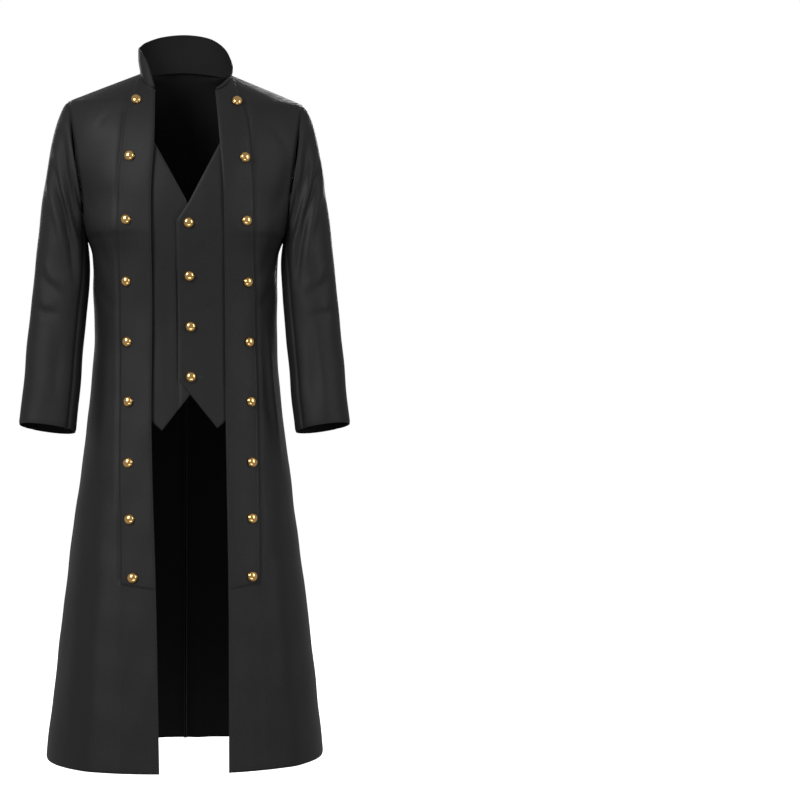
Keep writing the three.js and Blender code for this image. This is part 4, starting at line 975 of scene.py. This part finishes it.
for side in (-1, 1):
    shares = steps_with_edges(SKIRT_HEM_WIDTH)
    levels = steps_with_edges(WAIST_SEAM_Z - HEM_Z)
    z = lerp(WAIST_SEAM_Z, HEM_Z, levels)[:, None] * np.ones(len(shares))[None]
    d = np.maximum(edge_x(z) * np.sin(shares[None] * math.pi / 2), SEAM_GAP / 2)
    z = z + (waist_seam_z(d[:1]) - WAIST_SEAM_Z - SEAM_GAP / 2) * (1 - levels[:, None]) ** 8
    d = np.maximum(edge_x(z) * np.sin(shares[None] * math.pi / 2), SEAM_GAP / 2)
    x = side * d
    calm = smooth((WAIST_SEAM_Z - z) / 0.03)
    lift = (crease_lift(x, z, SKIRT_CREASES[side_name(side)]) + gentle(x, z, 7.7)) * calm
    points = on_skin(x, z, 1, lift)
    points[:, -1, 1] += SEAM_GAP / 2
    points = points[:, ::-1] if side > 0 else points
    name = "back_skirt_" + side_name(side)
    edges = {"left": "seam", "right": "seam", "top": "seam", "bottom": "turned"}
    skirt = cloth(name, points, COAT_WALL, edges)
    sew_in(skirt, name)

# ------------------------------------------------------------------ collar
# A stand collar of two layers of twill over canvas, firm enough to stand. Its corner is sharp on
# the wearer's right; on the left it rolls over outwards.

COLLAR_WALL = 0.0026
COLLAR_SEAM_GAP = 0.001
COLLAR_HEIGHT, COLLAR_STEP = 0.07, 0.004
COLLAR_BOW = 0.0025               # how far its middle stands out
COLLAR_SUNK, COLLAR_SUNK_IN = 0.007, 0.0028   # its foot goes on down inside the neck
# The collar's upper edge from the right front end (turn -1) round the nape to the left (1).
COLLAR_RIBS = columns(
    "turn x y z",
    [
        (-1.0, -0.0605, -0.063, -0.036),
        (-0.9, -0.068, -0.057, -0.01),
        (-0.8, -0.077, -0.046, 0.017),
        (-0.7, -0.088, -0.031, 0.036),
        (-0.6, -0.0935, -0.012, 0.047),
        (-0.5, -0.0925, 0.011, 0.053),
        (-0.33, -0.08, 0.047, 0.069),
        (-0.17, -0.046, 0.073, 0.085),
        (0.0, 0.002, 0.083, 0.0915),
        (0.17, 0.049, 0.073, 0.083),
        (0.33, 0.079, 0.048, 0.059),
        (0.5, 0.092, 0.012, 0.026),
        (0.6, 0.09, -0.011, 0.004),
        (0.7, 0.085, -0.03, -0.009),
        (0.8, 0.078, -0.046, -0.018),
        (0.9, 0.069, -0.057, -0.028),
        (1.0, 0.0585, -0.063, -0.036),
    ],
)


def collar_foot(turn):
    side = np.where(turn < 0, -1, 1)
    away = np.abs(turn)
    angle = np.clip(away / 0.5, 0, 1) * math.pi / 2
    back_foot = np.stack(
        [
            side * NECK_HALF * np.sin(angle),
            lerp(SHOULDER_Y, NAPE_Y, np.cos(angle)),
            NAPE_RISE * np.cos(angle) ** 2,
        ],
        -1,
    )
    column = np.clip((1 - away) / 0.5, 0, 1) * BAND_SHARE
    right_d, right_z = front_top(column, -1)
    left_d, left_z = front_top(column, 1)
    d, z = np.where(side < 0, right_d, left_d), np.where(side < 0, right_z, left_z)
    front_foot = np.stack([side * d, skin_y(side * d, z, -1), z], -1)
    return np.where((away <= 0.5)[:, None], back_foot, front_foot)


ribs = through(np.stack([COLLAR_RIBS[c] for c in ("turn", "x", "y", "z")], 1), 7)[::-1]
foot = collar_foot(ribs[:, 0]) + np.array([0, 0, COLLAR_SEAM_GAP])
heights = steps_with_edges(COLLAR_HEIGHT, step=COLLAR_STEP)[::-1]
grid = foot[None] + (ribs[None, :, 1:] - foot[None]) * heights[:, None, None]
bow = COLLAR_BOW * np.sin(np.pi * heights)[:, None]
grid = moved_out(grid, np.broadcast_to(bow, grid.shape[:2]))
sunk = grid[-1] - grid_normals(grid)[-1] * COLLAR_SUNK_IN - np.array([0, 0, COLLAR_SUNK])
grid = np.concatenate([grid, sunk[None]])
edges = {"left": "turned", "right": "turned", "top": "turned"}
collar = cloth("collar", grid, COLLAR_WALL, edges)
sew_in(collar, "collar")

# ------------------------------------------------------------------ sleeves
# Two-piece sleeves, set in without fullness and cut with a bend at the elbow. The upper sleeve is
# the wider piece; its seams with the under sleeve run down the back and the inner front.

UPPER_WIDTH, UNDER_WIDTH = 0.30, 0.18
FRONT_SLEEVE_SEAM = -140.0        # degrees from the outer point, round the front
SLEEVE_SEAM_TURN = 0.3
# Rings from the armhole to the cuff: outer and inner point, half depth, middle, how far the back
# edge hangs, and the back seam's angle.
SLEEVE_RINGS = columns(
    "outX outZ inX inZ half y drop seam",
    [
        (0.2305, -0.057, 0.194, -0.33, 0.064, 0.008, 0.0, 92.0),
        (0.243, -0.074, 0.1936, -0.336, 0.067, 0.008, 0.0, 84.0),
        (0.256, -0.108, 0.192, -0.346, 0.068, 0.008, 0.0, 76.0),
        (0.267, -0.16, 0.19, -0.36, 0.066, 0.007, 0.0, 68.0),
        (0.276, -0.215, 0.1885, -0.378, 0.064, 0.005, 0.0, 60.0),
        (0.2845, -0.28, 0.1885, -0.4, 0.061, 0.002, 0.001, 55.0),
        (0.2925, -0.35, 0.191, -0.436, 0.058, -0.001, 0.002, 52.0),
        (0.2995, -0.425, 0.195, -0.482, 0.056, -0.005, 0.004, 50.0),
        (0.3065, -0.5, 0.1995, -0.535, 0.054, -0.011, 0.006, 49.0),
        (0.313, -0.575, 0.2045, -0.594, 0.052, -0.018, 0.007, 49.0),
        (0.319, -0.64, 0.209, -0.652, 0.05, -0.027, 0.008, 50.0),
        (0.325, -0.697, 0.215, -0.712, 0.048, -0.036, 0.009, 51.0),
    ],
)
SLEEVE_FRONT_CREASES = [
    (-0.0110, 0.012, (0.243, -0.115), (0.236, -0.20), (0.222, -0.255), (0.207, -0.330)),
    (-0.0075, 0.0060, (0.266, -0.160), (0.250, -0.240), (0.234, -0.290), (0.222, -0.345), (0.217, -0.42)),
    (0.0050, 0.007, (0.277, -0.180), (0.262, -0.250), (0.246, -0.310), (0.234, -0.380)),
    (-0.0042, 0.009, (0.296, -0.38), (0.272, -0.42), (0.238, -0.445)),
    (-0.0036, 0.008, (0.300, -0.46), (0.276, -0.478), (0.246, -0.480)),
    (0.0020, 0.012, (0.262, -0.50), (0.270, -0.58), (0.276, -0.68)),
    (-0.0020, 0.010, (0.246, -0.53), (0.250, -0.60), (0.252, -0.67)),
    (-0.0022, 0.009, (0.225, -0.10), (0.240, -0.090), (0.252, -0.105)),
]
SLEEVE_BACK_CREASES = [
    (-0.0050, 0.011, (0.226, -0.150), (0.232, -0.215), (0.222, -0.290)),
    (-0.0032, 0.009, (0.262, -0.200), (0.250, -0.270), (0.236, -0.340)),
    (-0.0036, 0.010, (0.300, -0.36), (0.276, -0.40), (0.240, -0.41)),
    (-0.0030, 0.009, (0.306, -0.43), (0.280, -0.45), (0.244, -0.455)),
    (-0.0024, 0.010, (0.310, -0.51), (0.286, -0.54), (0.262, -0.545)),
    (0.0022, 0.012, (0.276, -0.56), (0.284, -0.62), (0.290, -0.69)),
]
ARMHOLE_AXIS = unit(
    np.array([ARMHOLE_TOP[1] - ARMHOLE_BOTTOM[1], 0, ARMHOLE_BOTTOM[0] - ARMHOLE_TOP[0]])
)
SLEEVE_CREASE_SCALE = {"left": 0.85, "right": 1.0}


def sleeve_points(side, from_column, to_column, width):
    """A sleeve piece's outer points, from one angle round the sleeve to another at each ring."""
    shares = steps_with_edges(width)
    names = ("outX", "outZ", "inX", "inZ", "half", "y", "drop", "seam")
    fine = through(np.stack([SLEEVE_RINGS[c] for c in names], 1), 10)
    out_x, out_z, in_x, in_z, half_depth, mid_y, drop, seam = [c[:, None] for c in fine.T]
    start, end = from_column(seam), to_column(seam)
    angle = np.radians(lerp(start, end, shares[None]))
    reach = 0.5 + 0.5 * np.cos(angle)
    points = np.stack(
        [
            lerp(in_x, out_x, reach),
            mid_y + half_depth * np.sin(angle),
            lerp(in_z, out_z, reach) - drop * np.sin(angle),
        ],
        -1,
    )
    points[0] += ARMHOLE_AXIS * SEAM_GAP
    x, z = points[..., 0], points[..., 2]
    facing = np.sin(angle)
    at_armhole = np.linspace(0, 1, len(fine))[:, None] * len(fine) * 0.006
    calm = smooth(at_armhole / 0.03)
    lift = crease_lift(x, z, SLEEVE_FRONT_CREASES) * smooth(-facing * 1.6)
    lift = lift + crease_lift(x, z, SLEEVE_BACK_CREASES) * smooth(facing * 1.6)
    lift = (lift * SLEEVE_CREASE_SCALE[side_name(side)] + gentle(x, z, 9.1 + side)) * calm
    grid = moved_out(points, lift)
    grid[..., 0] *= side
    return grid if side > 0 else grid[:, ::-1]


for side in (-1, 1):
    both = {"left": "seam", "right": "seam", "top": "seam", "bottom": "turned"}
    name = "upper_sleeve_" + side_name(side)
    grid = sleeve_points(
        side,
        lambda seam: FRONT_SLEEVE_SEAM + SLEEVE_SEAM_TURN + 0 * seam,
        lambda seam: seam - SLEEVE_SEAM_TURN,
        UPPER_WIDTH,
    )
    sew_in(cloth(name, grid, COAT_WALL, both), name)
    name = "under_sleeve_" + side_name(side)
    grid = sleeve_points(
        side,
        lambda seam: seam + SLEEVE_SEAM_TURN,
        lambda seam: FRONT_SLEEVE_SEAM + 360 - SLEEVE_SEAM_TURN + 0 * seam,
        UNDER_WIDTH,
    )
    sew_in(cloth(name, grid, COAT_WALL, both), name)

# ------------------------------------------------------------------ mock waistcoat
# Two fronts sewn in under the bands, the left over the right and buttoned to it. They make a V
# neck and two points at the lower edge.

VEST_TOP_Z = -0.130
VEST_HIDDEN_HALF = 0.116
VEST_LIFT = {"left": -0.0045, "right": -0.0073}
VEST_GROOVE = 0.0032              # the right front dips this far beside the left one's edge
VEST_GROOVE_OFF, VEST_GROOVE_REACH = 0.002, 0.003
VEST_WIDTH, VEST_HEIGHT = 0.10, 0.53
VEST_HIGHEST_CREASE = 0.001       # higher ones would touch the bands
VEST_NECK = columns(
    "z left right",
    [
        (-0.13, 0.075, -0.071),
        (-0.269, 0.004, 0.004),
        (-0.302, -0.0175, 0.02),
        (-0.435, -0.0155, 0.021),
        (-0.707, -0.0117, 0.022),
    ],
)
VEST_LEFT_HEM = columns("x z", [(-0.0117, -0.612), (0.061, -0.703), (VEST_HIDDEN_HALF, -0.659)])
VEST_RIGHT_HEM = columns("x z", [(0.022, -0.621), (-0.047, -0.707), (-VEST_HIDDEN_HALF, -0.652)])
VEST_CREASES = [
    (-0.0012, 0.010, (0.060, -0.33), (0.040, -0.36), (0.015, -0.37)),
    (-0.0010, 0.010, (0.065, -0.45), (0.045, -0.47), (0.015, -0.475)),
    (0.0010, 0.016, (0.040, -0.20), (0.035, -0.35), (0.040, -0.55)),
    (-0.0012, 0.012, (-0.030, -0.30), (-0.035, -0.45), (-0.032, -0.62)),
]


def vest_points(side):
    name = side_name(side)
    hem = VEST_LEFT_HEM if side > 0 else VEST_RIGHT_HEM
    column = steps_with_edges(VEST_WIDTH, step=0.0025)[None]
    level = steps_with_edges(VEST_HEIGHT, step=0.004)[:, None]
    outer_x = side * VEST_HIDDEN_HALF
    hem_x = lerp(hem["x"][0], outer_x, column)
    hem_z = np.interp(side * hem_x, side * hem["x"], hem["z"])
    z = lerp(VEST_TOP_Z, hem_z, level)
    front_x = np.interp(-z, -VEST_NECK["z"], VEST_NECK[name])
    x = lerp(front_x, outer_x, column)
    creases = crease_lift(x, z, VEST_CREASES) + gentle(x, z, 2.2 + side) * 0.6
    lift = VEST_LIFT[name] + np.minimum(creases, VEST_HIGHEST_CREASE)
    if side < 0:
        beside_left = x - np.interp(-z, -VEST_NECK["z"], VEST_NECK["left"])
        lift = lift - VEST_GROOVE * np.exp(-(((beside_left + VEST_GROOVE_OFF) / VEST_GROOVE_REACH) ** 2))
    points = on_skin(x, z, -1, lift)
    return points if side > 0 else points[:, ::-1]


for side in (-1, 1):
    name = "vest_" + side_name(side)
    edges = {"left": "turned", "right": "turned", "bottom": "turned"}
    grid = vest_points(side)
    vest = cloth(name, grid, THIN_WALL, edges)
    sew_in(vest, name)

# ------------------------------------------------------------------ lacing tabs
# A doubled strip on each side of the back, caught in the dart above and the waist seam below. Its
# free edge stands a little off the back, so the lace can pass under it.

TAB_CLEARANCE = columns("share lift", [(0, 0.0036), (0.5, 0.0036), (0.8, 0.0032), (1, SEAM_GAP)])
TAB_FACE_LIFT = 0.0036 + THIN_WALL
EYELET_FIRST = (0.087, -0.283)
EYELET_STEP = (-0.0013, -0.034)
EYELET_COUNT = 5
EYELET_HOLE = 0.0042
TAB_WIDTH, TAB_STEP = 0.029, 0.0022
TAB_STITCH_IN = 0.0035
TAB_FOOT_RISE = 0.002             # its lowest rows stop this far above the waist seam


def eyelet_place(side, row):
    return side * (EYELET_FIRST[0] + EYELET_STEP[0] * row), EYELET_FIRST[1] + EYELET_STEP[1] * row


def frame_on_skin(x, z, face, lift):
    """A point on the skin with its outward direction."""
    foot = Vector(on_skin(x, z, face, lift))
    return foot, (Vector(on_skin(x, z, face, lift + 0.001)) - foot).normalized()


for side in (-1, 1):
    shares = steps_with_edges(TAB_WIDTH, step=TAB_STEP)
    columns_ = lerp(BACK_INNER, BACK_OUTER, shares)
    grid = back_points(columns_, np.full(len(shares), side), start_z=TAB_TOP_Z, creased=False)
    grid[-3:] = grid[-3:] + np.array([0, 0, TAB_FOOT_RISE])
    order = slice(None, None, -1) if side > 0 else slice(None)
    lift = np.interp(shares, TAB_CLEARANCE["share"], TAB_CLEARANCE["lift"]) + THIN_WALL
    grid = moved_out(grid[:, order], np.broadcast_to(lift[order], grid.shape[:2]))
    name = "lacing_tab_" + side_name(side)
    edges = {"left": "turned", "right": "turned", "top": "turned"}
    tab = cloth(name, grid, THIN_WALL, edges, lining=twill)
    for row in range(EYELET_COUNT):
        x, z = eyelet_place(side, row)
        foot, outward = frame_on_skin(x, z, 1, TAB_FACE_LIFT)
        bpy.ops.mesh.primitive_cylinder_add(vertices=24, radius=EYELET_HOLE, depth=0.02, location=foot)
        punch = bpy.context.object
        punch.rotation_euler = outward.to_track_quat("Z", "Y").to_euler()
        cut = tab.modifiers.new("punched hole", "BOOLEAN")
        cut.operation, cut.object, cut.solver = "DIFFERENCE", punch, "EXACT"
        bpy.context.view_layer.objects.active = tab
        bpy.ops.object.modifier_apply(modifier=cut.name)
        bpy.data.objects.remove(punch)
    sew_in(tab, name)
    stitch_row("tab_stitches_" + side_name(side), grid, side > 0, TAB_STITCH_IN, 3, -4)

# ------------------------------------------------------------------ buttons
# Hollow domed buttons of brass, stamped, polished and gilded, sewn on by a shank: nine down each
# band and four on the waistcoat.

BUTTON_RADIUS = 0.010
BUTTON_HEIGHT = 0.0075
BUTTON_CLEARANCE = 0.0011
BAND_BUTTONS = columns(
    "right left z",
    [
        (-0.096, 0.099, -0.065),
        (-0.108, 0.1135, -0.178),
        (-0.1145, 0.1165, -0.301),
        (-0.1145, 0.1195, -0.419),
        (-0.113, 0.1225, -0.536),
        (-0.1105, 0.1255, -0.652),
        (-0.11, 0.127, -0.77),
        (-0.107, 0.1265, -0.878),
        (-0.101, 0.126, -0.989),
    ],
)
VEST_BUTTONS = columns(
    "x z",
    [
        (0.005, -0.307),
        (0.0065, -0.4095),
        (0.009, -0.507),
        (0.0097, -0.604),
    ],
)

GILT = "#f3c47c"
gilt_brass, shader = new_material("polished gilt brass")
shader.inputs["Base Color"].default_value = linear(GILT)
shader.inputs["Metallic"].default_value = 1.0
shader.inputs["Roughness"].default_value = 0.1

BUTTON_PROFILE = [(0, 0), (0.55, 0.0), (0.86, 0.04), (0.97, 0.09), (1.0, 0.17), (0.985, 0.25), (0.955, 0.28)]
DOME_STEPS = 12
DOME_FOOT = BUTTON_PROFILE[-1]


def revolved(name, profile, steps, material, closed=False):
    """A turned piece round its own Z axis; profile rows are radius and height."""
    angles = np.arange(steps) * 2 * math.pi / steps
    vertices, rings = [], []
    for radius, height in profile:
        if radius < 1e-6:
            rings.append([len(vertices)])
            vertices.append((0, 0, height))
        else:
            rings.append(list(range(len(vertices), len(vertices) + steps)))
            vertices += [(radius * math.cos(a), radius * math.sin(a), height) for a in angles]
    if closed:
        rings.append(rings[0])
    faces = []
    for low, high in zip(rings[:-1], rings[1:]):
        for i in range(steps):
            j = (i + 1) % steps
            if len(low) == 1:
                faces.append([low[0], high[j], high[i]])
            elif len(high) == 1:
                faces.append([low[i], low[j], high[0]])
            else:
                faces.append([low[i], low[j], high[j], high[i]])
    return mesh_object(name, vertices, faces, [material], sharp=40)


def stand_on_skin(piece, x, z, face, lift):
    foot, outward = frame_on_skin(x, z, face, lift)
    piece.location = foot
    piece.rotation_euler = outward.to_track_quat("Z", "Y").to_euler()


def button(name, x, z, lift):
    turns = np.linspace(0, math.pi / 2, DOME_STEPS)[1:]
    dome = [(DOME_FOOT[0] * math.cos(a), lerp(DOME_FOOT[1], 1, math.sin(a))) for a in turns]
    dome[-1] = (0, 1)
    profile = [(r * BUTTON_RADIUS, h * BUTTON_HEIGHT) for r, h in BUTTON_PROFILE + dome]
    piece = revolved(name + "_gilt", profile, 48, gilt_brass)
    stand_on_skin(piece, x, z, -1, lift)
    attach(piece, "root")
    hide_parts(name)


band_lift = SEAM_GAP + THIN_WALL + BUTTON_CLEARANCE
for k, z in enumerate(BAND_BUTTONS["z"]):
    for side_word in ("right", "left"):
        button(f"button_{side_word}_{k + 1}", BAND_BUTTONS[side_word][k], z, band_lift)
for k, (x, z) in enumerate(zip(VEST_BUTTONS["x"], VEST_BUTTONS["z"])):
    button(f"button_vest_{k + 1}", x, z, VEST_LIFT["left"] + BUTTON_CLEARANCE)

# ------------------------------------------------------------------ waistcoat buttonholes
# Each waistcoat button comes through a worked hole that reaches a little past it towards the
# wearer's left: a slit with a raised edge of black buttonhole stitch.

HOLE_START = 0.0055               # how far from the button's middle it starts
HOLE_LENGTH = 0.017
HOLE_HALF_WIDTH = 0.0011
HOLE_LIFT = VEST_LIFT["left"] + 0.0004
PURL_RADIUS, PURL_SIDES = 0.0005, 6
for k, (x, z) in enumerate(zip(VEST_BUTTONS["x"], VEST_BUTTONS["z"])):
    turn = np.linspace(0, 2 * math.pi, 49)[:-1]
    ring_x = x + HOLE_START + HOLE_LENGTH / 2 * (1 - np.cos(turn))
    ring_z = z + HOLE_HALF_WIDTH * np.sin(turn)
    line = on_skin(ring_x, ring_z, -1, HOLE_LIFT)
    vertices, faces = [], []
    tangent = unit(np.roll(line, -1, 0) - np.roll(line, 1, 0))
    outward = unit(on_skin(ring_x, ring_z, -1, HOLE_LIFT + 0.001) - line)
    level = np.cross(tangent, outward)
    for i in range(PURL_SIDES):
        a = i * 2 * math.pi / PURL_SIDES
        vertices.append(line + (level * math.cos(a) + outward * math.sin(a)) * PURL_RADIUS)
    vertices = np.stack(vertices, 1).reshape(-1, 3)
    count = len(line)
    for j in range(count):
        for i in range(PURL_SIDES):
            a, b = j * PURL_SIDES + i, j * PURL_SIDES + (i + 1) % PURL_SIDES
            shift = PURL_SIDES if j < count - 1 else -j * PURL_SIDES
            faces.append([a, b, b + shift, a + shift])
    hole = mesh_object(f"buttonhole_{k + 1}", vertices, faces, [sewing_thread])
    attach(hole, "root")

# ------------------------------------------------------------------ eyelets
# Two-part brass eyelets plated with nickel, pressed through both layers of the tab: a rolled rim
# outside and a short barrel through the hole.

NICKEL = "#c4c4c8"
nickel_plate, shader = new_material("bright nickel plate")
shader.inputs["Base Color"].default_value = linear(NICKEL)
shader.inputs["Metallic"].default_value = 1.0
shader.inputs["Roughness"].default_value = 0.22

EYELET_BORE, EYELET_BARREL, EYELET_RADIUS = 0.0030, 0.0036, 0.0055
EYELET_TAIL, EYELET_SEAT, EYELET_RIM = -0.0019, 0.0006, 0.0009
rim_turn = np.linspace(0, math.pi, 9)
rim_middle = (EYELET_BORE + EYELET_RADIUS) / 2
rim_half = (EYELET_RADIUS - EYELET_BORE) / 2
eyelet_profile = (
    [(EYELET_BORE, EYELET_TAIL), (EYELET_BARREL, EYELET_TAIL), (EYELET_BARREL, EYELET_SEAT)]
    + [(rim_middle + rim_half * math.cos(a), EYELET_SEAT + EYELET_RIM * math.sin(a)) for a in rim_turn]
)
for side in (-1, 1):
    for row in range(EYELET_COUNT):
        name = f"eyelet_{side_name(side)}_{row + 1}"
        eyelet = revolved(name + "_nickel", eyelet_profile, 40, nickel_plate, closed=True)
        stand_on_skin(eyelet, *eyelet_place(side, row), 1, TAB_FACE_LIFT)
        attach(eyelet, "root")
        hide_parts(name)

# ------------------------------------------------------------------ lacing
# One flat lace runs through all ten eyelets, from the lowest on the left up to the top and down
# again to the lowest on the right, over the tabs' edges or under them.

LACE_UNDER, LACE_OVER, LACE_CROSSING = 0.0016, 0.0074, 0.0036
LACED_EYELETS = columns(
    "side row comesOver goesOver",
    [
        (1, 4, False, True),
        (-1, 3, False, True),
        (1, 2, True, False),
        (-1, 1, False, True),
        (1, 0, True, False),
        (-1, 0, False, True),
        (1, 1, False, True),
        (-1, 2, True, False),
        (1, 3, True, False),
        (-1, 4, True, False),
    ],
)
STRAND_SHARES = [0.05, 0.1, 0.2, 0.35]
STRAND_OVER = [0.0069, 0.0056, 0.0032, 0.0020]
STRAND_UNDER = [0.0016, 0.0016, 0.0016, 0.0018]
BORE_PASS = [(0.0016, LACE_OVER, 0.0045), (-0.0007, 0.0049, 0.0032), (0.0016, LACE_UNDER, 0.0045)]
stations = []
count = len(LACED_EYELETS["side"])
for k in range(count):
    side, row = LACED_EYELETS["side"][k], LACED_EYELETS["row"][k]
    x, z = eyelet_place(side, row)
    passes = BORE_PASS if LACED_EYELETS["comesOver"][k] else BORE_PASS[::-1]
    stations += [(x - side * inward, z, lift, width) for inward, lift, width in passes]
    if k == count - 1:
        break
    end_x, end_z = eyelet_place(LACED_EYELETS["side"][k + 1], LACED_EYELETS["row"][k + 1])
    upper = k % 2 == 1 or k == 6
    start_lifts = STRAND_OVER if LACED_EYELETS["goesOver"][k] else STRAND_UNDER
    end_lifts = STRAND_OVER if LACED_EYELETS["comesOver"][k + 1] else STRAND_UNDER
    run = list(zip(STRAND_SHARES, start_lifts)) + [(0.5, LACE_CROSSING if upper else LACE_UNDER)]
    run += [(1 - share, lift) for share, lift in zip(STRAND_SHARES[::-1], end_lifts[::-1])]
    for share, lift in run:
        lift = LACE_CROSSING if upper and 0.3 < share < 0.7 else lift
        stations.append((lerp(x, end_x, share), lerp(z, end_z, share), lift, LACE_WIDTH))
rows = through(stations, 4)
points = on_skin(rows[:, 0], rows[:, 1], 1, rows[:, 2])
down_the_tab = on_skin(rows[:, 0], rows[:, 1] - 0.001, 1, rows[:, 2]) - points
lacing = flat_lace("lacing_braid", points, down_the_tab, rows[:, 3])
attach(lacing, "root")
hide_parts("lacing")

# ------------------------------------------------------------------ room and light
# A white studio: a pale floor below the hem and white walls, a soft key light from the upper
# left, weaker ones from the right and from below, and two more behind the coat for its back.

FLOOR_Z = HEM_Z - 0.16
bpy.ops.mesh.primitive_plane_add(size=60, location=(0, 0, FLOOR_Z))
floor = bpy.context.object
floor.name = "floor"
floor_paint, shader = new_material("white studio floor")
shader.inputs["Base Color"].default_value = linear("#f6f6f6")
shader.inputs["Roughness"].default_value = 0.9
shader.inputs["Emission Color"].default_value = (1, 1, 1, 1)
shader.inputs["Emission Strength"].default_value = 0.75
floor.data.materials.append(floor_paint)
floor.visible_diffuse = False
floor.visible_glossy = False

WALLS_SEEN = 1.0
WALLS_LIGHTING = 0.32
world = bpy.data.worlds.new("white studio")
world.use_nodes = True
walls = world.node_tree.nodes["Background"]
walls.inputs["Color"].default_value = (1, 1, 1, 1)
ray = world.node_tree.nodes.new("ShaderNodeLightPath")
strength = world.node_tree.nodes.new("ShaderNodeMapRange")
strength.inputs["To Min"].default_value = WALLS_LIGHTING
strength.inputs["To Max"].default_value = WALLS_SEEN
world.node_tree.links.new(ray.outputs["Is Camera Ray"], strength.inputs["Value"])
world.node_tree.links.new(strength.outputs["Result"], walls.inputs["Strength"])
bpy.context.scene.world = world


def soft_box(name, place, aim, size, watts):
    light = bpy.data.lights.new(name, "AREA")
    light.shape = "RECTANGLE"
    light.size, light.size_y = size
    light.energy = watts
    lamp = bpy.data.objects.new(name, light)
    lamp.location = place
    lamp.rotation_euler = (Vector(aim) - Vector(place)).to_track_quat("-Z", "Y").to_euler()
    bpy.context.scene.collection.objects.link(lamp)


soft_box("key light", (-1.9, -2.4, 1.0), (0, 0, -0.5), (1.2, 1.8), 64)
soft_box("fill light", (2.4, -2.0, 0.4), (0, 0, -0.7), (1.0, 1.8), 24)
soft_box("low light", (0.3, -2.6, -2.2), (0, 0, -0.6), (2.0, 0.7), 14)
soft_box("back light left", (1.1, 3.1, 0.8), (0, 0, -0.5), (0.8, 1.6), 66)
soft_box("back light right", (-1.3, 3.0, 0.6), (0, 0, -0.6), (0.9, 1.6), 20)

bpy.context.scene.view_settings.view_transform = "Standard"
